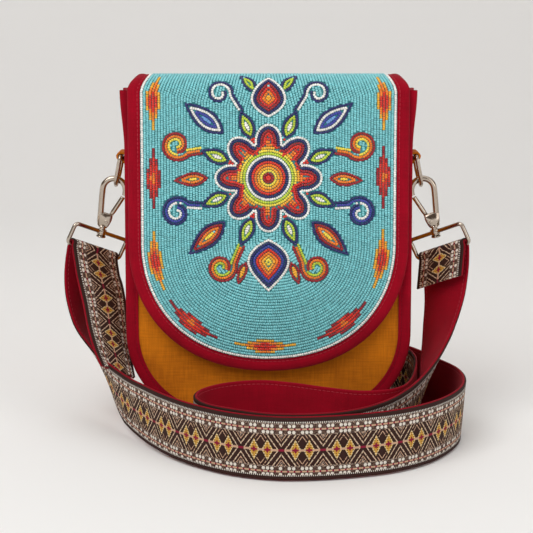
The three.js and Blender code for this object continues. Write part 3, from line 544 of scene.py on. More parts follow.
@dataclass(frozen=True)
class JacquardRibbon:
    """A woven ribbon whose pattern is floated in thick coloured threads over a dark ground."""

    name: str = "jacquard_ribbon"
    width: float = 42.0
    repeat: float = 26.2
    centre: float = 21.7
    half_zone: float = 10.2
    dot_step: float = 2.72
    dark: str = "#3a1f19"
    ground: str = "#c2aa98"
    tan: str = "#dcb393"
    cream: str = "#f8f2e6"
    gold: str = "#e2ac45"
    burgundy: str = "#97183a"

    def material(self) -> Finish:
        """Builds the pattern from millimetres along the ribbon and from its upper edge.

        Returns:
            The finished material.
        """
        # The eye reads pale dots and crosses that stand on a mottled dark ground of visible threads; the threads are
        # shown by painted shade and highlight from their height.
        sheet = NodeSheet(self.name, Roughness=0.75, Specular_IOR_Level=0.2)
        sheet.grid()
        sheet.add("noise", "ShaderNodeTexNoise", "grid", None, 1.3, 1.0)
        sheet.add("speck", "ShaderNodeMapRange", "noise", 0.44, 0.56)
        self._borders(sheet)
        self._centre(sheet)
        self._threads(sheet)
        sheet.away("off", "down", self.centre)
        sheet.add("inside", "LESS_THAN", "off", self.half_zone)
        sheet.layer("pattern", "inside", "border", "zone")
        # Painted shade and highlight: the pattern is darkened in the grooves between threads and lightened on their
        # crests.
        sheet.add("tone", "ShaderNodeMapRange", "ribs", 0.0, 1.0, 0.6, 1.12)
        sheet.add("thread_shaded_pattern", "ShaderNodeVectorMath", "pattern", "tone", operation="MULTIPLY")
        sheet.add("bump", "ShaderNodeBump", {"Height": "ribs", "Strength": 0.7, "Distance": 0.3 * MM})
        return sheet.wear(Base_Color="thread_shaded_pattern", Normal="bump")

    def _threads(self, sheet: NodeSheet) -> None:
        """Gives the height of crossing threads, about 0.9 mm apart so that they show, for the bump and for painted
        shade on the threads.

        Args:
            sheet: The material in the making.
        """
        for name, axis, step in (("ribs_a", "along", 0.91), ("ribs_b", "down", 0.78)):
            sheet.ridges(name, axis, math.pi / step)
        sheet.add("ribs", "MULTIPLY", "ribs_a", "ribs_b")

    def _borders(self, sheet: NodeSheet) -> None:
        """Lays the edge bands: dark selvedges, cream ticks, white dots in threes, ones and twos, and a dashed line.

        Args:
            sheet: The material in the making.
        """
        dark, cream = linear(self.dark), linear(self.cream)
        for name, line in (("near", 7.9), ("far", 35.7)):
            sheet.away(name, "down", line)
        sheet.add("near", "MINIMUM", "near", "far")
        sheet.add("cell", "DIVIDE", "along", self.dot_step)
        sheet.add("x", "FRACT", "cell")
        sheet.add("x", "SUBTRACT", "x", 0.5)
        sheet.add("x", "MULTIPLY", "x", self.dot_step)
        sheet.add("y", "SUBTRACT", "near", 2.0)
        sheet.add("reach", "ShaderNodeCombineXYZ", "x", "y")
        sheet.add("reach", "ShaderNodeVectorMath", "reach", output="Value", operation="LENGTH")
        sheet.add("dot", "LESS_THAN", "reach", 1.08)
        sheet.add("group", "FLOORED_MODULO", "cell", 9.0)
        for start in (3, 5, 8):
            sheet.away("skip", "group", start + 0.5)
            sheet.add("skip", "GREATER_THAN", "skip", 0.5)
            sheet.add("dot", "MULTIPLY", "dot", "skip")
        sheet.layer("border", "speck", linear("#33211d"), linear(self.ground))
        sheet.add("channel", "LESS_THAN", "near", 3.0)
        sheet.layer("channel_ground", "speck", dark, linear("#7a6052"))
        sheet.layer("border", "channel", "border", "channel_ground")
        sheet.add("dash", "LESS_THAN", "near", 0.55)
        sheet.add("beat", "FLOORED_MODULO", "along", 1.5 * self.dot_step)
        sheet.add("beat", "GREATER_THAN", "beat", 1.2)
        sheet.layer("dashes", "beat", linear(self.burgundy), linear(self.tan))
        sheet.layer("border", "dash", "border", "dashes")
        sheet.layer("border", "dot", "border", cream)
        sheet.away("out", "down", self.width / 2)
        sheet.add("beat", "FLOORED_MODULO", "along", self.dot_step / 2)
        sheet.add("tick", "LESS_THAN", "beat", 0.6)
        sheet.layer("ticks", "tick", dark, cream)
        for limit, colour in ((17.0, "ticks"), (18.0, dark)):
            sheet.add("edge", "GREATER_THAN", "out", limit)
            sheet.layer("border", "edge", "border", colour)

    def _centre(self, sheet: NodeSheet) -> None:
        """Lays the middle zone: crosses and chevrons of dark and tan threads, and pairs of gold diamonds.

        Args:
            sheet: The material in the making.
        """
        dark, tan = linear(self.dark), linear(self.tan)
        gold, burgundy = linear(self.gold), linear(self.burgundy)
        sheet.add("side", "DIVIDE", "along", self.repeat)
        sheet.add("side", "FRACT", "side")
        sheet.away("side", "side", 0.5)
        sheet.add("side", "MULTIPLY", "side", self.repeat)
        sheet.away("rise", "down", self.centre)
        sheet.add("arm", "MULTIPLY", "side", 1.42)
        sheet.add("arm", "SUBTRACT", "arm", "rise")
        sheet.add("gap", "ABSOLUTE", "arm")
        sheet.add("weft", "FLOORED_MODULO", "down", 1.56)
        sheet.add("weft", "LESS_THAN", "weft", 1.0)
        sheet.add("warp", "FLOORED_MODULO", "along", 1.82)
        sheet.add("warp", "LESS_THAN", "warp", 1.2)
        sheet.add("stitch", "MAXIMUM", "weft", "warp")
        sheet.layer("zone", "speck", linear("#3d2a25"), linear(self.ground))
        sheet.add("mask", "GREATER_THAN", "arm", -7.4)
        sheet.layer("zone", "mask", "zone", dark)
        sheet.layer("threads", "warp", tan, linear("#ecd3b4"))
        for low, high in ((2.1, 3.3), (5.6, 6.5), (9.0, 9.9)):
            sheet.add("mask", "GREATER_THAN", "gap", low)
            sheet.add("line", "LESS_THAN", "gap", high)
            sheet.add("mask", "MULTIPLY", "mask", "line")
            sheet.add("mask", "MULTIPLY", "mask", "stitch")
            sheet.layer("zone", "mask", "zone", "threads" if low < 4 else tan)
        sheet.away("wide", "side", 0.335 * self.repeat)
        sheet.add("wide", "DIVIDE", "wide", 3.7)
        sheet.add("tall", "DIVIDE", "rise", 7.0)
        sheet.add("ring", "ADD", "wide", "tall")
        sheet.layer("golds", "weft", gold, linear("#f3dfb0"))
        for reach, colour in ((1.25, dark), (1.0, "golds"), (0.78, gold), (0.34, burgundy)):
            sheet.add("mask", "LESS_THAN", "ring", reach)
            if colour in ("golds", gold):
                sheet.add("mask", "MULTIPLY", "mask", "stitch")
            sheet.layer("zone", "mask", "zone", colour)
        sheet.add("spine", "LESS_THAN", "rise", 0.7)
        sheet.add("beat", "GREATER_THAN", "side", 1.9)
        sheet.add("near_ring", "GREATER_THAN", "ring", 0.6)
        sheet.add("beat", "MULTIPLY", "beat", "near_ring")
        sheet.layer("spine_colour", "beat", burgundy, tan)
        sheet.layer("zone", "spine", "zone", "spine_colour")


# Trees that lay beads and stitches, and draw wires.


def new_tree(name: str, inputs: dict[str, object]) -> tuple[Tree, bpy.types.NodeOutputs]:
    """Starts a node tree that turns geometry into geometry with a material.

    Args:
        name: The tree's name.
        inputs: Its other inputs by name, each with its first value.

    Returns:
        The tree, and its inputs as outputs of its first node.
    """
    tree = bpy.data.node_groups.new(name, "GeometryNodeTree")
    tree.interface.new_socket("Points", in_out="INPUT", socket_type="NodeSocketGeometry")
    for word, value in inputs.items():
        kind = "NodeSocketInt" if isinstance(value, int) else "NodeSocketFloat"
        tree.interface.new_socket(word, in_out="INPUT", socket_type=kind).default_value = value
    tree.interface.new_socket("Material", in_out="INPUT", socket_type="NodeSocketMaterial")
    tree.interface.new_socket("Result", in_out="OUTPUT", socket_type="NodeSocketGeometry")
    return tree, add_node(tree, "NodeGroupInput").outputs


def close_tree(tree: Tree, start: bpy.types.NodeOutputs, shape: bpy.types.Node) -> None:
    """Realizes a tree's instances, gives them the material and links them to its output.

    Args:
        tree: The tree that is finished.
        start: The tree's inputs.
        shape: The node that gives its shape.
    """
    real = add_node(tree, "GeometryNodeRealizeInstances", [shape])
    dressed = add_node(tree, "GeometryNodeSetMaterial", {"Geometry": real, "Material": start["Material"]})
    add_node(tree, "NodeGroupOutput", [dressed])


class LayRows:
    """A node tree that lays one small shape on every point of a mesh, turned to the surface and the row."""

    def __init__(self) -> None:
        """Builds the tree once, with named inputs for the shape's size."""
        sizes = {"Row Length": 1.0, "Row Width": 1.0, "Height": 1.0, "Size Spread": 0.05, "Seed": 7}
        tree, start = new_tree("lay_rows", sizes)
        ball = add_node(tree, "GeometryNodeMeshUVSphere", {"Segments": 8, "Rings": 4, "Radius": 1.0})
        laid = add_node(tree, "GeometryNodeTransform", {"Geometry": ball, "Rotation": (0.0, math.pi / 2, 0.0)})
        place = add_node(tree, "GeometryNodeInputPosition")
        # A ball swollen along the row and cut off at both ends is a bead's barrel.
        swollen = add_node(tree, "ShaderNodeVectorMath", [place, (1.36, 1.0, 1.0)], operation="MULTIPLY")
        cut = add_node(tree, "ShaderNodeVectorMath", [swollen, (1.0, 2.0, 2.0)], operation="MINIMUM")
        barrel = add_node(tree, "ShaderNodeVectorMath", [cut, (-1.0, -2.0, -2.0)], operation="MAXIMUM")
        shaped = add_node(tree, "GeometryNodeSetPosition", {"Geometry": laid, "Position": barrel})
        soft = add_node(tree, "GeometryNodeSetShadeSmooth", [shaped])
        face = add_node(tree, "GeometryNodeInputNamedAttribute", {"Name": "face_way"}, data_type="FLOAT_VECTOR")
        row = add_node(tree, "GeometryNodeInputNamedAttribute", {"Name": "row_way"}, data_type="FLOAT_VECTOR")
        turn = add_node(tree, "FunctionNodeAxesToRotation", [face, row], primary_axis="Z", secondary_axis="X")
        limits = {"Seed": start["Seed"], 2: -1.0, 3: 1.0}
        jitter = add_node(tree, "FunctionNodeRandomValue", limits, data_type="FLOAT")
        spread = add_node(tree, "MULTIPLY_ADD", [jitter.outputs[1], start["Size Spread"], 1.0])
        sizes = add_node(tree, "ShaderNodeCombineXYZ", [start["Row Length"], start["Row Width"], start["Height"]])
        scale = add_node(tree, "ShaderNodeVectorMath", {0: sizes, "Scale": spread}, operation="SCALE")
        links = {"Points": start["Points"], "Instance": soft, "Rotation": turn, "Scale": scale}
        close_tree(tree, start, add_node(tree, "GeometryNodeInstanceOnPoints", links))
        self.tree = tree


class DrawWire:
    """A node tree that runs a round section along a line of points whose radius they carry."""

    def __init__(self) -> None:
        """Builds the tree once, with a named input for the number of sides."""
        tree, start = new_tree("draw_wire", {"Sides": 24})
        line = add_node(tree, "GeometryNodeMeshToCurve", [start["Points"]])
        size = add_node(tree, "GeometryNodeInputNamedAttribute", {"Name": "wire_radius"}, data_type="FLOAT")
        radius = add_node(tree, "GeometryNodeSetCurveRadius", {"Curve": line, "Radius": size})
        section = add_node(tree, "GeometryNodeCurvePrimitiveCircle", {"Resolution": start["Sides"], "Radius": 1.0})
        links = {"Curve": radius, "Profile Curve": section, "Scale": size, "Fill Caps": True}
        drawn = add_node(tree, "GeometryNodeCurveToMesh", links)
        close_tree(tree, start, add_node(tree, "GeometryNodeSetShadeSmooth", [drawn]))
        self.tree = tree


def grown_mesh(source: Thing, name: str, tree: Tree, values: dict) -> Thing:
    """Runs a node tree on an object and keeps the result as a plain mesh.

    Args:
        source: The object that the tree starts from, which is used up.
        name: The new object's name.
        tree: The node tree.
        values: The tree's inputs by their names.

    Returns:
        The new object.
    """
    modifier = source.modifiers.new("grow", "NODES")
    modifier.node_group = tree
    for item in tree.interface.items_tree:
        if item.item_type == "SOCKET" and item.in_out == "INPUT" and item.name in values:
            modifier[item.identifier] = values[item.name]
    bpy.context.view_layer.update()
    seen = source.evaluated_get(bpy.context.evaluated_depsgraph_get())
    mesh = bpy.data.meshes.new_from_object(seen)
    mesh.name = name
    source.modifiers.clear()
    bpy.data.objects.remove(source)
    grown = bpy.data.objects.new(name, mesh)
    bpy.context.scene.collection.objects.link(grown)
    return grown


@dataclass
class RowPoints:
    """Points for beads or stitches, each with its row's direction, its surface's direction and a colour."""

    places: list[Array] = field(default_factory=list)
    rows: list[Array] = field(default_factory=list)
    faces: list[Array] = field(default_factory=list)
    colours: list[tuple[float, float, float, float]] = field(default_factory=list)

    def add(self, place: Array, row: Array, face: Array, colour: tuple) -> None:
        """Adds one point.

        Args:
            place: Where it lies, in millimetres.
            row: Its row's direction.
            face: Its surface's outward direction.
            colour: Its linear colour.
        """
        self.places.append(place)
        self.rows.append(row)
        self.faces.append(face)
        self.colours.append(colour)

    def source(self) -> Thing:
        """Makes the mesh of bare points that the node tree reads.

        Returns:
            The object that the tree starts from.
        """
        mesh = bpy.data.meshes.new("row_points")
        mesh.from_pydata(placed(np.array(self.places)).tolist(), [], [])
        layers = (
            ("row_way", "FLOAT_VECTOR", "vector", self.rows),
            ("face_way", "FLOAT_VECTOR", "vector", self.faces),
            ("bead_colour", "FLOAT_COLOR", "color", self.colours),
        )
        for name, kind, key, values in layers:
            layer = mesh.attributes.new(name, kind, "POINT")
            layer.data.foreach_set(key, np.array(values, np.float32).ravel())
        return linked("row_points", mesh)


@dataclass
class Workshop:
    """The trees and materials that all sub-assemblies share."""

    rows: LayRows
    wires: DrawWire
    twill: Finish
    crimson: Finish
    lining: Finish
    glass: Finish
    nickel: Finish
    ribbon: Finish
    crimson_thread: Finish
    mustard_thread: Finish
    pale_thread: Finish

    @classmethod
    def opened(cls) -> "Workshop":
        """Builds every tree and material once.

        Returns:
            The open workshop.
        """
        return cls(
            rows=LayRows(),
            wires=DrawWire(),
            twill=WovenCloth("mustard_cotton_twill", "#dd8114", "#803a06", thread=1.0, slub=0.6, rib=1.2).material(),
            crimson=WovenCloth("crimson_cotton_tape", "#ae0021", "#740013", thread=0.9, slub=0.4).material(),
            lining=WovenCloth("brown_cotton_lining", "#a3702c", "#6b4515", thread=0.9, slub=0.5).material(),
            glass=SeedBeadGlass().material(),
            nickel=PolishedNickel().material(),
            ribbon=JacquardRibbon().material(),
            crimson_thread=SewingThread("crimson_thread", "#980824").material(),
            mustard_thread=SewingThread("mustard_thread", "#c98418").material(),
            pale_thread=SewingThread("rose_thread", "#c23a48").material(),
        )

    def lay(self, points: RowPoints, name: str, size: tuple, material: Finish, spread: float = 0.05) -> Thing:
        """Lays a small shape on every point.

        Args:
            points: Where the shapes go.
            name: The new object's name.
            size: Full length, width and height of a shape in millimetres.
            material: The shapes' finish.
            spread: How far sizes vary, as a share.

        Returns:
            The new object.
        """
        values = {"Size Spread": spread, "Material": material}
        values.update({word: part / 2 * MM for word, part in zip(("Row Length", "Row Width", "Height"), size)})
        return grown_mesh(points.source(), name, self.rows.tree, values)

    def wire(self, name: str, line: Array, radius: float | Array, closed: bool = False) -> Thing:
        """Draws a round nickel wire.

        Args:
            name: The new object's name.
            line: The wire's middle line.
            radius: The wire's radius, or one radius for each point.
            closed: True for a ring.

        Returns:
            The new object.
        """
        mesh = bpy.data.meshes.new(name)
        count = len(line)
        edges = [(i, (i + 1) % count) for i in range(count if closed else count - 1)]
        mesh.from_pydata(placed(line).tolist(), edges, [])
        layer = mesh.attributes.new("wire_radius", "FLOAT", "POINT")
        layer.data.foreach_set("value", (np.ones(count) * radius * MM).astype(np.float32))
        return grown_mesh(linked(name, mesh), name, self.wires.tree, {"Material": self.nickel})


def joined(name: str, *things: Thing) -> Thing:
    """Joins finished objects into one, which takes the name.

    Args:
        name: The name of the whole.
        *things: The objects, of which the first is kept.

    Returns:
        The whole.
    """
    with bpy.context.temp_override(active_object=things[0], selected_editable_objects=list(things)):
        bpy.ops.object.join()
    things[0].name = name
    things[0].data.name = name
    return things[0]


def stitches_along(line: Array, faces: Array, pitch: float, points: RowPoints) -> None:
    """Adds a stitch at every pitch along a line.

    Args:
        line: Points on the cloth, one in each row.
        faces: The cloth's outward direction at each point, or one for all.
        pitch: The distance from one stitch to the next.
        points: The points that the stitches are added to.
    """
    both = resampled(np.hstack([line, np.broadcast_to(faces, line.shape)]), pitch)
    for here, there in zip(both, both[1:]):
        points.add((here[:3] + there[:3]) / 2, unit(there[:3] - here[:3]), unit(here[3:]), (1, 1, 1, 1))


# The bag's body.


@dataclass(frozen=True)
class BagShape:
    """Outline and depth of the bag, about its own middle."""

    half_width: float
    mouth: float
    flare: float = 2.7
    flare_start: float = 196.0
    corner: float = 66.0
    mouth_half_depth: float = 13.0
    base_extra: float = 12.0
    base_full: float = 60.0

    @classmethod
    def from_frame(cls) -> "BagShape":
        """Reads the bag's width and height from the frame."""
        low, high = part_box("back_binding")
        flare = cls.flare
        return cls(half_width=(high.x - low.x) / 2 / MM - flare, mouth=high.z / MM)

    def half_width_at(self, z: Array) -> Array:
        """Half the bag's width at a height.

        Args:
            z: Heights above the floor.

        Returns:
            Half widths in millimetres.
        """
        z = np.asarray(z, float)
        drop = np.clip(self.corner - z, 0, self.corner)
        round_part = self.half_width - self.corner + np.sqrt(np.maximum(self.corner**2 - drop**2, 0))
        return round_part + self.flare * smooth(z, self.flare_start, self.mouth)

    def half_depth_at(self, z: Array) -> Array:
        """Half the bag's depth at a height."""
        share = smooth(self.mouth - np.asarray(z, float), 0, self.mouth - self.base_full)
        return self.mouth_half_depth + self.base_extra * share

    def outline(self, inset: float, top: float, step: float) -> Array:
        """Gives the outline from the left end of the mouth, round the base, to the right end.

        Args:
            inset: How far in from the bag's edge.
            top: The height where both ends stop.
            step: The distance between points.

        Returns:
            Rows of x, z and the outward direction's x and z.
        """
        half = self.half_width - self.corner
        base = columns(np.linspace(0, half, 16), np.full(16, inset))
        bend = arc((half, self.corner), self.corner - inset, -90, 0, 36)
        rise_z = np.linspace(self.corner, top, int((top - self.corner) / step))
        rise = columns(self.half_width_at(rise_z) - inset, rise_z)
        right = np.vstack([base[:-1], bend[:-1], rise])
        line = resampled(np.vstack([right[:0:-1] * (-1, 1), right]), step)
        return np.hstack([line, -left_of(line)])


class WallWave:
    """Small ripples in cloth, the same at each build."""

    def __init__(self, seed: int, terms: int = 7) -> None:
        """Draws the ripples' directions and lengths.

        Args:
            seed: The number that the draws start from.
            terms: How many ripples are added up.
        """
        draw = random.Random(seed)
        self.terms = [
            (draw.uniform(-1, 1) / 18, draw.uniform(-1, 1) / 26, draw.uniform(0, 6.28), draw.uniform(0.4, 1))
            for _ in range(terms)
        ]

    def at(self, x: Array, z: Array) -> Array:
        """Gives the ripple's height at a place, between about -1 and 1."""
        total = sum(size * np.sin(a * x + b * z + phase) for a, b, phase, size in self.terms)
        return total / sum(term[3] for term in self.terms) * 1.8


class Way(IntEnum):
    """A way from the bag's middle, with its sign along the axis."""

    @property
    def word(self) -> str:
        """Its name in the names of pieces."""
        return self.name.lower()


class Side(Way):
    """A side of the bag, along X."""

    LEFT = -1
    RIGHT = 1


class Face(Way):
    """A face of the bag, along Y."""

    FRONT = -1
    BACK = 1


@dataclass
class BodyCloth:
    """The bag's panels, gusset, bindings, hems, lining and ring tabs."""

    shape: BagShape
    shop: Workshop
    sheet: float = 1.6
    gap: float = 0.3
    binding_width: float = 9.0
    binding_sheet: float = 0.8
    gusset_inset: float = 2.6
    gusset_sheet: float = 1.2
    hem_height: float = 8.0
    lining_top: float = 227.5
    stitch: tuple[float, float, float] = (2.5, 0.55, 0.5)
    stitch_pitch: float = 3.1

    def build(self) -> None:
        """Builds every cloth piece of the body."""
        for face in Face:
            self.panel(face)
            self.binding(face)
        self.gusset()
        self.lining_bag()
        self.front_hem()
        for side in Side:
            self.gusset_hem(side)
            self.tab(side)

    def panel(self, face: Face) -> None:
        """Builds a canvas panel that puckers a little near its binding.

        Args:
            face: The face of the bag that it makes.
        """
        shape, mouth, corner = self.shape, self.shape.mouth, self.shape.corner
        front = face is Face.FRONT
        inset = self.binding_sheet + self.gap
        top = mouth - self.gap if front else mouth
        rise = inset + (top - inset) * np.linspace(0, 1, 98) ** 1.25
        across = np.sin(np.linspace(-1, 1, 84) * math.pi / 2)
        z = np.repeat(rise[:, None], len(across), axis=1)
        reach = shape.half_width_at(rise) - inset
        low = rise < corner
        radius = corner - inset
        reach[low] = shape.half_width - corner + np.sqrt(np.maximum(radius**2 - (corner - rise[low]) ** 2, 0))
        x = reach[:, None] * across[None, :]
        wave = WallWave(3 if front else 5).at(x, z)
        edge = np.minimum(reach[:, None] - np.abs(x), z)
        lift = 0.9 * wave * smooth(edge, 9, 40) * smooth(mouth - z, 2, 30)
        pucker = 0.3 * np.sin((x + z) / 3.4 + 2 * wave) * smooth(edge, 9, 13) * (1 - smooth(edge, 14, 32))
        lift = lift + pucker * smooth(mouth - z, 8, 30)
        if front:
            lift = np.minimum(lift, 0.55)  # The flap hangs close over the front.
        depth = shape.half_depth_at(z)
        outer = columns(x, face * (depth + self.sheet / 2 + lift), z)
        inner = columns(x, face * (depth - self.sheet / 2), z)
        thing = sheet_piece(face.word + "_panel_cloth", outer, inner, columns(x, z), self.shop.twill)
        rides(thing, "bag", "twill", face.word + "_panel")

    def binding(self, face: Face) -> None:
        """Builds the tape folded round a panel's edge, with its line of stitches.

        Args:
            face: The face of the bag whose panel it binds.
        """
        front_in = -self.sheet / 2 - self.gap
        front_out = front_in - self.binding_sheet
        back_out = self.sheet / 2 + self.gap + self.gusset_sheet + self.gap
        back_in = back_out + self.binding_sheet
        tail = self.gusset_inset - self.gap
        wide = self.binding_width
        seam = wide - 2.2
        # Rows of inset from the outline and depth from the face; the seam sinks in between two small swells.
        section = np.array(
            [(wide, front_in), (wide, front_out + 0.1), (seam + 0.7, front_out - 0.05)]
            + [(seam, front_out + 0.25), (seam - 0.7, front_out - 0.05), (5.0, front_out - 0.25)]
            + [(3.0, front_out - 0.28), (1.4, front_out - 0.1), (0.4, front_out + 0.5)]
            + [(0.0, front_out + 1.4), (0.0, 1.6), (0.3, back_in - 0.4), (1.0, back_in)]
            + [(tail, back_in), (tail, back_out), (self.binding_sheet, back_out)]
            + [(self.binding_sheet, front_in + 0.4), (1.2, front_in)]
        )
        outline = self.shape.outline(0, self.shape.mouth + 0.6, 1.6)
        wave = 0.16 * WallWave(11 + face).at(outline[:, 0] * 2.4, outline[:, 1] * 2.4)
        inset, depth = section.T
        x = outline[:, 0:1] - outline[:, 2:3] * inset
        z = outline[:, 1:2] - outline[:, 3:4] * inset
        lift = wave[:, None] * smooth(inset, 0, self.binding_width)[None, :] * (depth < 0)[None, :]
        rings = columns(x, face * (self.shape.half_depth_at(z) - depth + lift), z)
        uvs = columns(run_along(outline[:, :2])[:, None], run_along(section))
        thing = tube_piece(face.word + "_binding_tape", rings, self.shop.crimson, uvs)
        rides(thing, "bag", "crimson_cloth", face.word + "_binding")
        points = RowPoints()
        outwards = np.array([0.0, float(face), 0.0])
        stitches_along(rings[:, 3, :] + outwards * 0.1, outwards, self.stitch_pitch, points)
        laid = self.shop.lay(points, face.word + "_binding_stitches", self.stitch, self.shop.crimson_thread)
        rides(laid, "bag", "crimson_cloth")

    def gusset(self) -> None:
        """Builds the strip round the sides and the base, which sinks in a little between its seams."""
        inset, sheet = self.gusset_inset, self.gusset_sheet
        start = self.sheet / 2 + self.gap
        end = start + sheet
        edge = self.binding_sheet + self.gap
        outline = self.shape.outline(0, self.shape.mouth - self.gap, 3.0)
        z = outline[:, 1]
        depth = self.shape.half_depth_at(z)
        shares = np.linspace(-1, 1, 15)
        sink = 1.3 * (1 - shares**2) * smooth(np.abs(outline[:, 0:1]), 30, 70) * smooth(174 - z[:, None], 6, 60)
        ripple = 0.25 * WallWave(21).at(z[:, None] * 2, shares[None, :] * 20) * (1 - shares**2)
        sink = np.maximum(sink + ripple * smooth(170 - z[:, None], 0, 30), 0)
        outer_y = (depth[:, None] - end) * shares
        rings = []
        for (x, height, nx, nz), d, sunk, ys in zip(outline, depth, sink, outer_y):
            section = [(edge, -(d - start)), (edge, -(d - end))]
            section += [(inset + s, y) for s, y in zip(sunk, ys)]
            section += [(edge, d - end), (edge, d - start), (inset + sheet, d - start)]
            section += [(inset + sheet + s, y) for s, y in zip(sunk[::-1], ys[::-1])]
            section = np.array(section + [(inset + sheet, -(d - start))])
            rings.append(columns(x - nx * section[:, 0], section[:, 1], height - nz * section[:, 0]))
        rings = np.array(rings)
        uvs = columns(run_along(outline[:, :2])[:, None], rings[:, :, 1])
        rides(tube_piece("gusset_cloth", rings, self.shop.twill, uvs), "bag", "twill", "gusset")

    def lining_bag(self) -> None:
        """Builds the lining as one thin open bag that follows the panels."""
        shape, corner = self.shape, self.shape.corner
        inset = self.gusset_inset + self.gusset_sheet + 2.0
        depth_in = self.sheet / 2 + self.gap
        low = inset + 0.2
        sides = 96
        turn = np.linspace(0, 1, sides + 1)[:-1]
        walls = []
        for extra in (0.0, 0.8):
            loops = []
            for z in low + (self.lining_top - low) * np.linspace(0, 1, 60) ** 1.35:
                z_here = z + extra * (1 - smooth(z, low, low + 30))
                radius = corner - inset - extra
                drop = max(corner - z_here, 0.0)
                reach = float(shape.half_width_at(z_here)) - inset - extra
                if drop > 0:
                    reach = shape.half_width - corner + math.sqrt(max(radius**2 - drop**2, 0.0))
                deep = float(shape.half_depth_at(z_here)) - depth_in - extra
                bend = rounded([(-reach, -deep), (reach, -deep), (reach, deep), (-reach, deep)], 4.0, 4)
                loop = np.vstack([bend, bend[:1]])
                length = run_along(loop)
                flat = columns(*[np.interp(turn * length[-1], length, loop[:, k]) for k in (0, 1)])
                ripple = 0.25 * WallWave(31).at(flat[:, 0] * 2, np.full(sides, z * 2)) * (1 if extra else 0)
                flat[:, 1] -= np.sign(flat[:, 1]) * np.abs(ripple)
                loops.append(np.hstack([flat, np.full((sides, 1), z_here)]))
            walls.append(np.array(loops))
        rings = np.vstack([walls[0], walls[1][::-1]])
        uvs = columns(rings[:, :, 0] + rings[:, :, 1], rings[:, :, 2])
        rides(tube_piece("lining_cloth", rings, self.shop.lining, uvs), "bag", "lining_cloth", "lining")

    def hem_section(self, outer: float, inner: float) -> Array:
        """Gives the section of a tape folded over an edge at the mouth.

        Args:
            outer: The outer face's place, on the side away from the bag.
            inner: The inner face's place.

        Returns:
            Rows of place and height.
        """
        high, thick = self.shape.mouth, self.binding_sheet
        low = high - self.hem_height
        way = 1 if inner > outer else -1
        middle, half = (outer + inner) / 2, abs(inner - outer) / 2
        crest = arc((0, 0), 1, 180, 0, 10)
        over = columns(middle + way * crest[:, 0] * half, high + crest[:, 1] * thick)
        under = columns(middle + way * crest[::-1, 0] * (half - thick), high + crest[::-1, 1] * 0.05)
        legs_in = [(inner, low), (inner - way * thick, low)]
        legs_out = [(outer + way * thick, low), (outer, low)]
        return np.vstack([over, legs_in, under, legs_out])

    def front_hem(self) -> None:
        """Builds the tape folded over the front panel's upper edge."""
        mouth = self.shape.mouth
        half = float(self.shape.half_width_at(mouth - self.hem_height)) - self.binding_width - self.gap
        reach = self.sheet / 2 + self.gap + self.binding_sheet
        depth = float(self.shape.half_depth_at(mouth))
        section = self.hem_section(-depth - reach, -depth + reach)
        along = np.linspace(-half, half, 70)
        wave = 0.2 * WallWave(41).at(along * 3, along * 0)
        rings = np.array([[(x, y - w, z) for y, z in section] for x, w in zip(along, wave)])
        uvs = columns(along[:, None], section[:, 1])
        rides(tube_piece("front_hem_tape", rings, self.shop.crimson, uvs), "bag", "crimson_cloth", "front_hem")

    def gusset_hem(self, side: Side) -> None:
        """Builds the tape folded over the gusset's upper edge.

        Args:
            side: The side of the bag.
        """
        mouth, gap, tape = self.shape.mouth, self.gap, self.binding_sheet
        edge = float(self.shape.half_width_at(mouth))
        outer = edge - (self.gusset_inset - gap - tape)
        inner = edge - (self.gusset_inset + self.gusset_sheet + gap + tape)
        section = self.hem_section(outer, inner)
        half = float(self.shape.half_depth_at(mouth)) - 3.7
        along = np.linspace(-half, half, 20)
        rings = np.array([[(side * x, y, z) for x, z in section] for y in along])
        uvs = columns(along[:, None], section[:, 1])
        thing = tube_piece(side.word + "_gusset_hem_tape", rings, self.shop.crimson, uvs)
        rides(thing, "bag", "crimson_cloth", side.word + "_gusset_hem")

    def tab(self, side: Side) -> None:
        """Builds a canvas tab folded round the ring's bar and sewn to the gusset with a crossed box.

        Args:
            side: The side of the bag.
        """
        low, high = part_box(side.word + "_tab")
        bar_x, bar_z = self.shape.half_width + 3.3, 190.0
        thick, half, turn = 1.2, (high.y - low.y) / 2 / MM, 2.5
        wall = self.shape.half_width - self.gusset_inset + self.gap
        foot = low.z / MM
        front_leg = [(wall + 2.0, foot), (wall + 2.0, bar_z - 7.5), (wall + 2.4, bar_z - 5.2)]
        over = arc((bar_x, bar_z), turn, -115, 100, 18)
        back_leg = [(wall + 2.4, bar_z + 1.9), (wall + 0.8, bar_z - 0.5), (wall + 0.65, bar_z - 4), (wall + 0.65, foot)]
        path = np.vstack([front_leg, over, back_leg])
        out = -left_of(path) * thick / 2
        loop = np.vstack([path + out, (path - out)[::-1]])
        halves = np.linspace(-half, half, 9)
        rings = np.array([[(side * x, y, z) for x, z in loop] for y in halves])
        uvs = columns(halves[:, None], loop[:, 1])
        rides(tube_piece(side.word + "_tab_webbing", rings, self.shop.twill, uvs), "bag", "twill", side.word + "_tab")
        points = RowPoints()
        x = side * (wall + 2.7)
        reach, box_low, box_high = half - 1.8, foot + 2.0, bar_z - 8.0
        box = np.array([(x, -reach, box_low), (x, reach, box_low), (x, reach, box_high), (x, -reach, box_high)])
        for ends in ((0, 1), (1, 2), (2, 3), (3, 0), (0, 2), (1, 3)):
            stitches_along(box[list(ends)], np.array([side, 0.0, 0.0]), 2.0, points)
        laid = self.shop.lay(points, side.word + "_tab_stitches", (1.6, 0.5, 0.4), self.shop.mustard_thread)
        rides(laid, "bag", "twill")


# The flap.


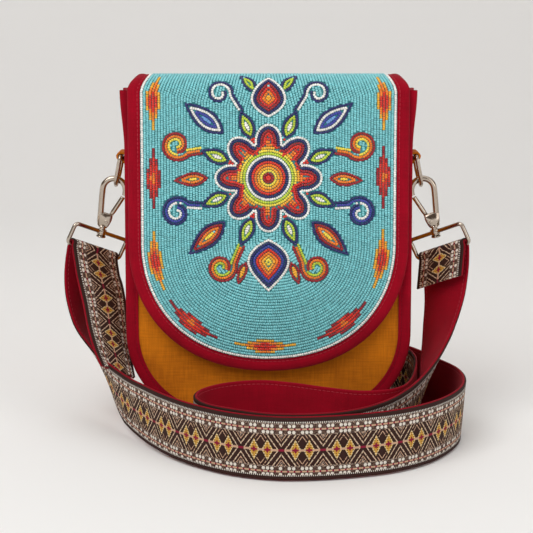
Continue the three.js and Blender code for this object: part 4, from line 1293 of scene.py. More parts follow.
@dataclass
class FlapShape:
    """The flap as a sheet: x across, v up its front and over the roll, and a distance out from its inner face."""

    bag: BagShape
    set_back: float = 2.9
    bottom: float = 40.1
    curve_top: float = 130.5
    stand_top: float = 2.6
    stand_bottom: float = 5.2
    roll_rise: float = 6.6
    roll_taper: float = 5.6
    roll_half: float = 15.05
    roll_centre: float = -0.55
    bead_height: float = 4.2

    def __post_init__(self) -> None:
        """Tabulates the side profile and the place of v along it."""
        self.half_width = self.bag.half_width - self.set_back
        self.base = self.bag.mouth + 0.15
        z = np.linspace(self.bottom - 6, self.base, 300)
        stand = self.stand_top + (self.stand_bottom - self.stand_top) * (self.base - z) / (self.base - self.bottom)
        front = columns(-self.bag.half_depth_at(z) - stand, z)
        angle = np.radians(np.linspace(180, 0, 121))
        roll_y = self.roll_centre + self.roll_half * np.cos(angle)
        roll = columns(roll_y, self.base + self.roll_rise * np.sin(angle))
        self.face = np.vstack([front, roll[1:]])
        self.roll_start = len(z) - 1
        way = unit(np.gradient(self.face, axis=0))
        self.normal = columns(-way[:, 1], way[:, 0])
        self.way = way
        out = self.face + self.normal * self.bead_height
        run = np.linalg.norm(np.diff(out[self.roll_start :], axis=0), axis=1)
        self.v = np.concatenate([z, self.base + np.cumsum(run)])
        self.roll_angle = np.concatenate([np.full(len(z), 180.0), np.degrees(angle)[1:]])
        self.end = float(self.v[-1])

    def v_at_angle(self, degrees: float) -> float:
        """Gives v where the roll has turned to an angle, from 180 at the front to 0 at the back."""
        return float(np.interp(-degrees, -self.roll_angle[self.roll_start :], self.v[self.roll_start :]))

    def at(self, x: Array, v: Array, out: Array) -> Array:
        """Gives points of the flap.

        Args:
            x: Places across the flap.
            v: Places up the flap.
            out: Distances out from the inner face.

        Returns:
            Points, with the coordinates in the last axis.
        """
        x, v, out = np.broadcast_arrays(np.asarray(x, float), v, out)
        y = np.interp(v, self.v, self.face[:, 0]) + out * np.interp(v, self.v, self.normal[:, 0])
        z = np.interp(v, self.v, self.face[:, 1]) + out * np.interp(v, self.v, self.normal[:, 1])
        return columns(x, y, z)

    def facing(self, v: Array) -> Array:
        """Gives the flap's outward direction at a height.

        Args:
            v: Places up the flap.

        Returns:
            Directions of length one.
        """
        y = np.interp(v, self.v, self.normal[:, 0])
        z = np.interp(v, self.v, self.normal[:, 1])
        return unit(columns(np.zeros_like(y), y, z))

    def turned(self, direction: Array, v: Array) -> Array:
        """Turns a direction drawn in x and v into a direction in space.

        Args:
            direction: The direction in x and v.
            v: The place up the flap.

        Returns:
            The direction in space.
        """
        up_y = np.interp(v, self.v, self.way[:, 0])
        up_z = np.interp(v, self.v, self.way[:, 1])
        up = unit(columns(up_y, up_z))
        across, rise = direction[..., 0], direction[..., 1]
        return unit(columns(across, rise * up[..., 0], rise * up[..., 1]))

    def half_at(self, v: Array) -> Array:
        """Half the flap's width over the roll, where it narrows."""
        angle = np.interp(v, self.v, self.roll_angle)
        return self.half_width - self.roll_taper * np.sin(np.radians(np.clip(angle, 0, 180))) ** 1.6

    def outline(self, end: float, step: float) -> Array:
        """Gives the flap's edge from its left end over the bottom to its right end.

        Args:
            end: The v where both ends stop.
            step: The distance between points.

        Returns:
            Rows of x and v.
        """
        t = np.linspace(0, 1, 120)[:, None]
        wide, top = self.half_width, self.curve_top
        hands = np.array([(0, self.bottom), (66, self.bottom), (wide, top - 46), (wide, top)], float)
        curve = (1 - t) ** 3 * hands[0] + 3 * t * (1 - t) ** 2 * hands[1]
        curve = curve + 3 * t**2 * (1 - t) * hands[2] + t**3 * hands[3]
        rise_v = np.linspace(top, end, 160)[1:]
        rise = columns(self.half_at(rise_v), rise_v)
        right = np.vstack([curve, rise])
        return resampled(np.vstack([right[:0:-1] * (-1, 1), right]), step)


EDGE_STEP = 0.3  # How finely a row follows the edge.
ROW_SLACK = 0.06  # How much nearer to the edge than its own distance a row may come.
ROW_BREAK = 2.6  # The widest break in a row that is sewn over.


def inset_rows(outline: Array, first: float, pitch: float, closed: bool) -> list[tuple[int, Array]]:
    """Draws rows inside an outline, each at an even distance from it.

    Args:
        outline: The outline, anticlockwise, or from its left end round the bottom to its right end.
        first: The first row's distance in from the outline.
        pitch: The distance between rows.
        closed: True where the outline's end joins its start.

    Returns:
        The rows as their number and their points.
    """
    fine = resampled(outline, EDGE_STEP, closed)
    tree = KDTree(len(fine))
    for i, (x, v) in enumerate(fine):
        tree.insert((x, v, 0), i)
    tree.balance()
    inward = left_of(fine)
    if closed:
        way = unit(np.roll(fine, -1, axis=0) - np.roll(fine, 1, axis=0))
        inward = columns(-way[:, 1], way[:, 0])
    rows = []
    number = 0
    while True:
        distance = first + number * pitch
        moved = fine + inward * distance
        kept = np.flatnonzero([tree.find((x, v, 0))[2] > distance - ROW_SLACK for x, v in moved])
        if not len(kept):
            return rows
        merged: list[Array] = []
        for run in np.split(kept, np.where(np.diff(kept) > 1)[0] + 1):
            if len(run) <= 2:
                continue
            if merged and np.linalg.norm(merged[-1][-1] - moved[run[0]]) < ROW_BREAK:
                merged[-1] = np.vstack([merged[-1], moved[run]])
            else:
                merged.append(moved[run])
        rows.extend((number, part) for part in merged)
        number += 1


class BeadColour(Enum):
    """The bead colours on the flap."""

    WHITE = "#f2efe9"
    TURQUOISE = "#80cdd2"
    NAVY = "#1d1f63"
    VIOLET = "#3b3f9e"
    SKY = "#6f9fd8"
    CRIMSON = "#9c0c1e"
    RED = "#d92b16"
    ORANGE = "#f0801a"
    GOLD = "#f3b02a"
    YELLOW = "#f2dd4a"
    LIME = "#bfd43a"


@dataclass
class BeadSpot:
    """One bead in the flap's own plane."""

    x: float
    v: float
    row: tuple[float, float]
    colour: BeadColour
    part: str


CELL = 3  # Wider than the reach between any two beads.


class BeadCloth:
    """Collects beads and leaves out any that would sit on an earlier one."""

    def __init__(self, step: float, reach: float = 1.32) -> None:
        """Starts with no beads.

        Args:
            step: A bead's length.
            reach: The least distance between two beads.
        """
        self.step, self.reach = step, reach
        self.spots: list[BeadSpot] = []
        self.cells: dict[tuple[int, int], list[BeadSpot]] = {}

    def cell(self, x: float, v: float) -> tuple[int, int]:
        """Gives the cell that a place lies in."""
        return math.floor(x / CELL), math.floor(v / CELL)

    def free(self, x: float, v: float, reach: float) -> bool:
        """Says whether a place is clear of earlier beads.

        Args:
            x: The place across the flap.
            v: The place up the flap.
            reach: The least distance to earlier beads.

        Returns:
            True where no bead is nearer.
        """
        i, j = self.cell(x, v)
        near = [spot for a in (i - 1, i, i + 1) for b in (j - 1, j, j + 1) for spot in self.cells.get((a, b), ())]
        return all((spot.x - x) ** 2 + (spot.v - v) ** 2 >= reach * reach for spot in near)

    def lay(self, line: Array, colour: object, part: str, reach: float | None = None) -> None:
        """Lays a row of beads along a line.

        Args:
            line: The row's points in x and v.
            colour: A bead colour, or a function of a bead's place that gives one.
            part: The name of the ornament that the beads belong to.
            reach: The least distance to earlier beads.
        """
        points = resampled(line, self.step)
        laid = []
        for (x, v), row in zip(points.tolist(), unit(np.gradient(points, axis=0)).tolist()):
            if self.free(x, v, reach or self.reach):
                shade = colour(x, v) if callable(colour) else colour
                laid.append(BeadSpot(x, v, tuple(row), shade, part))
        for spot in laid:
            self.cells.setdefault(self.cell(spot.x, spot.v), []).append(spot)
        self.spots += laid


@dataclass(frozen=True)
class Motif:
    """A closed ornament filled with rows of beads that follow its edge."""

    name: str
    outline: Array
    colours: tuple[BeadColour, ...]


LOZENGE_ROW = 4  # The bead row that runs through the lozenges' middles.
LOZENGE_REACH = (21.5, 13.5, 7.0)  # How far a lozenge reaches in its middle row and in the next two.
LOZENGE_CORE = {BeadColour.CRIMSON: 0.16, BeadColour.GOLD: 0.36}  # The share of its core, by its tips' colour.
LOZENGE_HEART = 0.68  # The share up to which the second colour goes.
PETAL_SINK = 2.5  # How far inside the petals' edge the ground turns red.


@dataclass
class BeadDesign:
    """The flap's ornament: a lobed flower, buds, leaves and tendrils, with small lozenges round the edge."""

    flap: FlapShape
    pitch: float

    def __post_init__(self) -> None:
        """Finds the height of the flower's middle."""
        self.middle = 0.746 * self.flap.bag.mouth

    def petal_reach(self, turn: Array) -> Array:
        """Gives how far the eight petals reach from the flower's middle, by the turn from straight up."""
        lobe = np.abs(np.sin(math.pi * ((turn * 8 / (2 * math.pi) + 0.5) % 1))) ** 0.75
        return (0.255 + 0.132 * lobe) * self.flap.half_width

    def flower(self) -> list[Motif]:
        """Draws the flower's core, its ring of petals and the small leaves between them.

        Returns:
            The motifs in the order in which they are laid.
        """
        c = BeadColour
        turn = np.linspace(0, 2 * math.pi, 321)[:-1]
        radius = self.petal_reach(turn)
        petals = columns(radius * np.sin(turn), self.middle + radius * np.cos(turn))[::-1]
        core = 0.143 * self.flap.half_width
        motifs = [
            Motif("core", self.ring(core), (c.NAVY, c.RED, c.ORANGE, c.GOLD, c.YELLOW, c.CRIMSON, c.RED)),
            Motif("petals", petals, (c.WHITE, c.NAVY, c.CRIMSON, c.RED)),
        ]
        for number, colour in enumerate((c.WHITE, c.LIME, c.YELLOW, c.GOLD, c.ORANGE, c.ORANGE, c.RED, c.RED)):
            motifs.append(Motif("ring", self.ring(core + (number + 1) * self.pitch), (colour,)))
        for degrees in np.arange(22.5, 360, 45):
            turn = math.radians(degrees)
            x, v = 29 * math.cos(turn), self.middle + 29 * math.sin(turn)
            motifs.append(Motif("sepal", self.leaf(x, v, degrees, 23, 11), (c.NAVY, c.LIME, c.WHITE)))
        return motifs

    def ring(self, radius: float) -> Array:
        """Draws a circle round the flower's middle."""
        return arc((0.0, self.middle), radius, 0, 357, 119)

    def leaf(self, x: float, v: float, degrees: float, length: float, width: float) -> Array:
        """Draws a pointed leaf.

        Args:
            x: The stalk end's place across the flap.
            v: The stalk end's place up the flap.
            degrees: The way the leaf points.
            length: The leaf's length.
            width: The leaf's width.

        Returns:
            The leaf's outline, anticlockwise.
        """
        t = np.linspace(0, 1, 40)
        half = width / 2 * np.sin(math.pi * t**0.8)
        low = columns(t * length, -half)
        high = columns(t * length, half)[::-1][1:-1]
        turn = math.radians(degrees)
        line = np.vstack([low, high])
        turned_x = x + line[:, 0] * math.cos(turn) - line[:, 1] * math.sin(turn)
        turned_v = v + line[:, 0] * math.sin(turn) + line[:, 1] * math.cos(turn)
        return columns(turned_x, turned_v)

    def leaves(self) -> list[Motif]:
        """Draws the buds above and below the flower and the leaves at its sides.

        Returns:
            The motifs in the order in which they are laid.
        """
        c = BeadColour
        half, mouth = self.flap.half_width, self.flap.bag.mouth
        bud = 0.255 * half
        top = self.leaf(0, 0.924 * mouth, 90, bud * 1.25, bud)
        bottom = self.leaf(0, 0.568 * mouth, -90, 1.5 * bud, 1.2 * bud)
        motifs = [
            Motif("bud_top", top, (c.WHITE, c.NAVY, c.CRIMSON, c.RED, c.ORANGE, c.GOLD)),
            Motif("bud_bottom", bottom, (c.WHITE, c.NAVY, c.VIOLET, c.RED, c.ORANGE, c.GOLD, c.YELLOW)),
        ]
        long, wide = 0.367 * half, 0.15 * half
        rows = (
            ("upper", 0.316, 0.877, 38, 1.0, (c.NAVY, c.WHITE, c.VIOLET, c.SKY)),
            ("side", 0.428, 0.7458, -4, 0.7, (c.CRIMSON, c.ORANGE, c.YELLOW)),
            ("lower", 0.306, 0.619, -42, 1.0, (c.NAVY, c.CRIMSON, c.ORANGE, c.YELLOW)),
            ("crown", 0.09, 0.995, 58, 0.6, (c.NAVY, c.LIME, c.WHITE)),
            ("foot", 0.16, 0.5, -70, 0.5, (c.CRIMSON, c.GOLD, c.WHITE)),
        )
        for word, x, v, degrees, size, colours in rows:
            right = self.leaf(x * half, v * mouth, degrees, size * long, size * wide)
            motifs.append(Motif(f"leaf_{word}_right", right, colours))
            motifs.append(Motif(f"leaf_{word}_left", (right * (-1, 1))[::-1], colours))
        return motifs

    def tendrils(self) -> list[tuple[Array, BeadColour]]:
        """Draws stems, two or three beads wide, that leave the flower and curl up at their ends.

        Returns:
            Each row of beads with its colour.
        """
        c = BeadColour
        curls = (
            ((19, 47), (34, 59), 8.5, 190, -380, (c.NAVY, c.WHITE)),
            ((47, 19), (64, 23), 9.5, 215, 400, (c.CRIMSON, c.ORANGE, c.YELLOW)),
            ((47, -19), (64, -24), 9.5, 145, -400, (c.NAVY, c.VIOLET, c.WHITE)),
            ((19, -47), (33, -62), 9.0, 165, 390, (c.CRIMSON, c.ORANGE, c.LIME)),
        )
        lines = []
        share = np.linspace(0, 1, 80)
        for start, (x, v), radius, first, sweep, colours in curls:
            turn = np.radians(first + sweep * share)
            reach = radius * (1 - 0.62 * share)
            spiral = columns(x + reach * np.cos(turn), v + reach * np.sin(turn))
            line = resampled(np.vstack([[start], spiral]), 1.0) + (0, self.middle)
            for number, colour in enumerate(colours):
                shift = (number - (len(colours) - 1) / 2) * self.pitch * np.sign(sweep)
                moved = line + left_of(line) * shift
                lines += [(moved, colour), (moved * (-1, 1), colour)]
        return lines

    def lozenges(self) -> list[tuple[float, float, float, tuple]]:
        """Lists the lozenges as x, v, size and their three colours from tip to middle.

        Returns:
            A row for each lozenge.
        """
        c = BeadColour
        warm, deep = (c.GOLD, c.ORANGE, c.RED), (c.CRIMSON, c.RED, c.ORANGE)
        rows = (
            (-1, 0.972, 0.95, warm),
            (1, 0.972, 0.95, warm),
            (-1, 0.7445, 1.0, deep),
            (1, 0.75, 1.0, deep),
            (-0.993, 0.5, 1.0, warm),
            (0.987, 0.506, 1.0, warm),
            (-0.674, 0.318, 1.0, deep),
            (0.65, 0.318, 1.0, deep),
            (-0.031, 0.2424, 1.0, warm),
        )
        row = self.flap.half_width - 11.4 - 5.9
        return [(x * row, v * self.flap.bag.mouth, size, colours) for x, v, size, colours in rows]

    def field_shade(self, number: int, x: float, v: float) -> BeadColour:
        """Picks the turquoise of the field, or a lozenge's or the flower's colour where a row crosses one.

        Args:
            number: The row's number from the flap's edge.
            x: The bead's place across the flap.
            v: The bead's place up the flap.

        Returns:
            The bead's colour.
        """
        reach = abs(number - LOZENGE_ROW)
        for at_x, at_v, size, colours in self.lozenges() if reach < len(LOZENGE_REACH) else ():
            away, limit = math.hypot(x - at_x, v - at_v), size * LOZENGE_REACH[reach]
            if away < math.hypot(limit, reach * self.pitch):
                share = away / limit
                if share < LOZENGE_CORE[colours[0]]:
                    return colours[2]
                return colours[1] if share < LOZENGE_HEART else colours[0]
        up = v - self.middle
        inside = math.hypot(x, up) < self.petal_reach(math.atan2(x, up) % (2 * math.pi)) - PETAL_SINK
        return BeadColour.RED if inside else BeadColour.TURQUOISE


@dataclass
class Flap:
    """The flap's cloth, its binding, its beads and the snap."""

    shape: FlapShape
    shop: Workshop
    binding_width: float = 8.8
    binding_sheet: float = 0.8
    gap: float = 0.3
    backing: float = 2.0
    row_pitch: float = 2.0
    bead_length: float = 1.56
    bead_width: float = 2.04
    bead_rise: float = 1.66
    bead_end_angle: float = 52.0
    field_limits: tuple[float, ...] = (95.0, 135.0, 175.0, 212.0)

    def build(self) -> None:
        """Builds every piece of the flap."""
        self.backing_sheet()
        self.binding()
        self.beadwork()
        self.yoke()
        self.snap()

    def grid(self, inset: float, rows: int, cols: int, end: float) -> tuple[Array, Array]:
        """Spreads a grid of x and v over the flap.

        Args:
            inset: How far in from the flap's edge.
            rows: How many rows go up the flap.
            cols: How many columns go across it.
            end: The last row's v.

        Returns:
            The grids of x and v.
        """
        edge = self.shape.outline(self.shape.end, 0.5)
        right = edge[edge[:, 0] >= 0]
        way = unit(np.gradient(right, axis=0))
        inner = right + columns(-way[:, 1], way[:, 0]) * inset
        inner[0] = (0, self.shape.bottom + inset)
        v = inner[0, 1] + (end - inner[0, 1]) * np.linspace(0, 1, rows) ** 1.5
        half = np.interp(v, inner[:, 1], inner[:, 0])
        half[0] = 1.5
        across = np.sin(np.linspace(-1, 1, cols) * math.pi / 2)
        return half[:, None] * across[None, :], np.repeat(v[:, None], cols, axis=1)

    def backing_sheet(self) -> None:
        """Builds the padded cloth under the beads, crimson on the side that faces the bag."""
        shape = self.shape
        back_in = self.binding_sheet + self.gap
        x, v = self.grid(back_in, 84, 60, shape.end)
        edge = smooth(shape.half_at(v) - np.abs(x), 10, 26) * smooth(v, shape.bottom + 12, shape.bottom + 30)
        lift = np.maximum(WallWave(51).at(x, v) * 0.3, -0.2) * edge * (v < shape.base - 10)
        outer = shape.at(x, v, back_in + self.backing)
        inner = shape.at(x, v, back_in + np.minimum(np.abs(lift), 0.4))
        thing = sheet_piece("flap_backing_cloth", outer, inner, columns(x, v), self.shop.crimson)
        rides(thing, "flap", "crimson_cloth", "flap_backing")

    def binding(self) -> None:
        """Builds the tape folded round the flap's edge, with its line of stitches."""
        wide, tape = self.binding_width, self.binding_sheet
        face = tape + self.gap + self.backing + self.gap
        top = face + tape
        seam = wide - 1.7
        # Rows of inset from the flap's edge and distance out; the seam sinks in between two small swells.
        section = np.array(
            [(wide, face), (wide, top - 0.1), (seam + 0.7, top + 0.05), (seam, top - 0.25)]
            + [(seam - 0.8, top + 0.1), (4.6, top + 0.45), (2.6, top + 0.4), (1.0, top - 0.1)]
            + [(0.2, top - 1.0), (0.0, top - 2.0), (0.1, 1.0), (0.6, 0.2), (1.4, 0.0)]
            + [(wide - 0.6, 0.0), (wide, 0.1), (wide, tape), (tape + 0.4, tape), (tape, tape + 0.4)]
            + [(tape, face - 0.3), (tape + 0.4, face)]
        )
        edge = self.shape.outline(self.shape.end, 1.5)
        wave = 0.12 * WallWave(61).at(edge[:, 0] * 3, edge[:, 1] * 3)
        rings = []
        for place, inward, swell in zip(edge, left_of(edge), wave):
            at = place + inward * section[:, 0:1]
            out = section[:, 1] + swell * (section[:, 1] > face) * smooth(section[:, 0], 0, 4)
            rings.append(self.shape.at(at[:, 0], at[:, 1], out))
        rings = np.array(rings)
        uvs = columns(run_along(edge)[:, None], run_along(section))
        thing = tube_piece("flap_binding_tape", rings, self.shop.crimson, uvs)
        rides(thing, "flap", "crimson_cloth", "flap_binding")
        points = RowPoints()
        faces = self.shape.facing(edge[:, 1])
        stitches_along(rings[:, 3, :] + faces * 0.12, faces, 3.0, points)
        laid = self.shop.lay(points, "flap_binding_stitches", (2.4, 0.5, 0.45), self.shop.pale_thread)
        rides(laid, "flap", "crimson_cloth")

    def beadwork(self) -> None:
        """Lays every bead: the ornaments first, then the white edge row, then the turquoise field."""
        design = BeadDesign(self.shape, self.row_pitch)
        cloth = BeadCloth(self.bead_length)
        for motif in design.flower() + design.leaves():
            for number, line in inset_rows(motif.outline, self.row_pitch / 2, self.row_pitch, closed=True):
                if number == len(motif.colours) and motif.name in ("ring", "petals"):
                    break
                cloth.lay(line, motif.colours[min(number, len(motif.colours) - 1)], "motif")
        for line, colour in design.tendrils():
            cloth.lay(line, colour, "motif", 1.45)
        end = self.shape.v_at_angle(self.bead_end_angle)
        first = self.binding_width + self.gap + self.row_pitch / 2
        for number, line in inset_rows(self.shape.outline(end, 0.5), first, self.row_pitch, closed=False):
            if number == 0:
                cloth.lay(line, BeadColour.WHITE, "edge")
            else:
                cloth.lay(line, partial(design.field_shade, number), "field")
        self.laid_beads(cloth)
        self.bead_ground(end)

    def laid_beads(self, cloth: BeadCloth) -> None:
        """Turns the bead plan into beads, in parts that stay light enough.

        Args:
            cloth: The collected beads.
        """
        draw = random.Random(17)
        groups: dict[str, RowPoints] = {}
        for spot in cloth.spots:
            name = {"edge": "bead_edge_beads", "motif": "bead_ornament"}.get(spot.part)
            name = name or f"bead_field_{sum(spot.v > limit for limit in self.field_limits) + 1}"
            tone = draw.gauss(1.0, 0.07)
            channels = linear(spot.colour.value)[:3]
            colour = tuple(min(max(channel * tone, 0.0), 1.0) for channel in channels) + (1.0,)
            v = np.array(spot.v)
            place = self.shape.at(spot.x + draw.gauss(0, 0.05), spot.v + draw.gauss(0, 0.05), self.shape.bead_height)
            row = self.shape.turned(np.array(spot.row), v)
            groups.setdefault(name, RowPoints()).add(place, row, self.shape.facing(v), colour)
        ornaments = [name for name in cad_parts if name.startswith(("lozenge", "flower", "bud", "leaf"))]
        dress = {
            "bead_field_1": ("turquoise_beads", "bead_field"),
            "bead_edge_beads": ("white_beads", "bead_edge_row"),
            "bead_ornament": ("navy_beads", *ornaments),
        }
        size = (self.bead_length * 0.95, self.bead_width, self.bead_rise)
        for name, points in sorted(groups.items()):
            thing = self.shop.lay(points, name, size, self.shop.glass, 0.06)
            rides(thing, "flap", *dress.get(name, ("turquoise_beads",)))
        log.info("%d beads", len(cloth.spots))

    def bead_ground(self, end: float) -> None:
        """Builds the thin dark cloth that the beads are sewn to.

        Args:
            end: The last v of the beadwork.
        """
        low = self.binding_sheet + self.gap + self.backing
        x, v = self.grid(self.binding_width + 0.1, 64, 44, end)
        outer, inner = self.shape.at(x, v, low + 0.65), self.shape.at(x, v, low + 0.1)
        ground = WovenCloth("teal_bead_ground", "#56a5aa", "#397f86", thread=0.9).material()
        thing = sheet_piece("bead_ground_cloth", outer, inner, columns(x, v), ground)
        rides(thing, "flap", "turquoise_beads")

    def yoke(self) -> None:
        """Builds the cloth that joins the flap to the back panel, curved round the roll at the hinge."""
        shape = self.shape
        start_y = shape.bag.mouth_half_depth + shape.stand_top
        low = shape.bag.mouth - 12
        half = shape.half_width - self.binding_sheet - self.gap
        out = 4.0
        rise = shape.roll_rise + out
        path = [(start_y + 2.35, z) for z in np.linspace(low, shape.base - 1, 18)]
        for turn in np.radians(np.linspace(4, self.bead_end_angle + 4, 16)):
            y = shape.roll_centre + (shape.roll_half + out) * math.cos(turn)
            path.append((y, shape.base + rise * math.sin(turn)))
        path = np.array(path)
        taper = shape.roll_taper * np.clip((path[:, 1] - shape.base) / rise, 0, 1) ** 1.6
        x = (half - taper)[:, None] * np.linspace(-1, 1, 60)[None, :]
        faces = []
        for lift in (0.45, -0.35):
            line = path - left_of(path) * lift
            faces.append(columns(x, line[:, 0:1], line[:, 1:2]))
        uvs = columns(x, run_along(path)[:, None])
        thing = sheet_piece("flap_yoke_cloth", *faces, uvs, self.shop.crimson)
        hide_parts("flap_anchor")
        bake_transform(thing)
        points = RowPoints()
        for drop in (2.0, 9.5):
            line = np.array([(at, start_y + 2.85, low + drop) for at in np.linspace(-half + 2, half - 2, 90)])
            stitches_along(line, np.array([0.0, 1.0, 0.0]), 3.1, points)
        laid = self.shop.lay(points, "flap_yoke_stitches", (2.5, 0.55, 0.45), self.shop.pale_thread)
        rides(laid, "bag", "crimson_cloth")

    def snap(self) -> None:
        """Builds both halves of the magnetic snap."""
        for node, body, way in (("snap_socket", "bag", -1.0), ("snap_stud", "flap", 1.0)):
            low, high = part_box(node)
            middle = (np.array(low) + np.array(high)) / 2 / MM - SHIFT
            wide, tall = (high.x - low.x) / 2 / MM, (high.y - low.y) / MM
            edge = 0.35 * tall
            profile = [(0, 0), (wide - edge, 0), (wide, edge), (wide, tall), (wide * 0.62, tall)]
            profile += [(wide * 0.55, tall * 0.55), (wide * 0.3, tall * 0.55)]
            profile += [(wide * 0.25, tall * 0.9), (0, tall * 0.9)]
            axis = np.array([0.0, way, 0.0])
            thing = turned_part(node + "_cap", profile, middle - axis * tall / 2, axis, self.shop.nickel)
            rides(thing, body, "nickel", node)


TURNED_SIDES = 40
LEAST_RADIUS = 0.02  # Keeps the ends of a turned part from shrinking to a point.


def turned_part(name: str, profile: list, start: Array, axis: Array, material: Finish, closed: bool = False) -> Thing:
    """Builds a turned part from its profile.

    Args:
        name: The object's name.
        profile: Rows of radius and height, from the axis at one end to the axis at the other.
        start: Where the axis starts.
        axis: The axis' direction.
        material: The part's finish.
        closed: True for a hollow part, whose profile runs all round its wall.

    Returns:
        The new object.
    """
    across = unit(np.cross(axis, (0.3, 0.2, 0.93)))
    turn = np.linspace(0, 2 * math.pi, TURNED_SIDES + 1)[:-1, None]
    ways = np.cos(turn) * across + np.sin(turn) * np.cross(axis, across)
    rings = np.array([start + axis * height + ways * max(radius, LEAST_RADIUS) for radius, height in profile])
    return tube_piece(name, rings, material, crisp=35, closed=closed)


# Rings, hooks and loops.


def mirrored_x(vector: Array, side: Side) -> Array:
    """Turns a right-hand vector into the same one on a side."""
    return np.asarray(vector, float) * (side, 1, 1)


@dataclass
class HookPlace:
    """Where the hooks and loops hang: the hook lies in the XZ plane, and its eye turns on the loop's collar."""

    ring_x: float = 104.3
    ring_z: float = 190.0
    hook_x: float = 118.85
    hook_z: float = 139.0
    tilt: float = math.radians(12)
    collar_w: float = -4.6
    leg: float = 15.0

    def __post_init__(self) -> None:
        """Works out the directions of the right hook and loop, and the middles of the loop's two bars."""
        self.up = np.array([-math.sin(self.tilt), 0.0, math.cos(self.tilt)])
        self.out = np.array([math.cos(self.tilt), 0.0, math.sin(self.tilt)])
        self.bar_way = unit(np.array([0.69, -0.62, 0.372]))
        hint = np.array([0.418, -0.075, -0.905])
        self.leg_way = unit(hint - self.bar_way * hint.dot(self.bar_way))
        self.loop_normal = np.cross(self.bar_way, self.leg_way)
        self.loop_top = np.array([self.hook_x, 0, self.hook_z]) + self.up * self.collar_w
        self.loop_bar = self.loop_top + self.leg_way * self.leg

    def point(self, side: Side, u: Array, w: Array, y: Array = 0.0) -> Array:
        """Gives a point of a hook from its own plane.

        Args:
            side: The side of the bag.
            u: The place across the hook, away from the bag.
            w: The place along the hook.
            y: The place square to its plane.

        Returns:
            The point about the bag's middle.
        """
        u, w, y = np.broadcast_arrays(np.asarray(u, float), w, y)
        flat = np.array([self.hook_x, 0.0, self.hook_z]) + u[..., None] * self.out + w[..., None] * self.up
        return mirrored_x(flat + y[..., None] * np.array([0.0, 1.0, 0.0]), side)


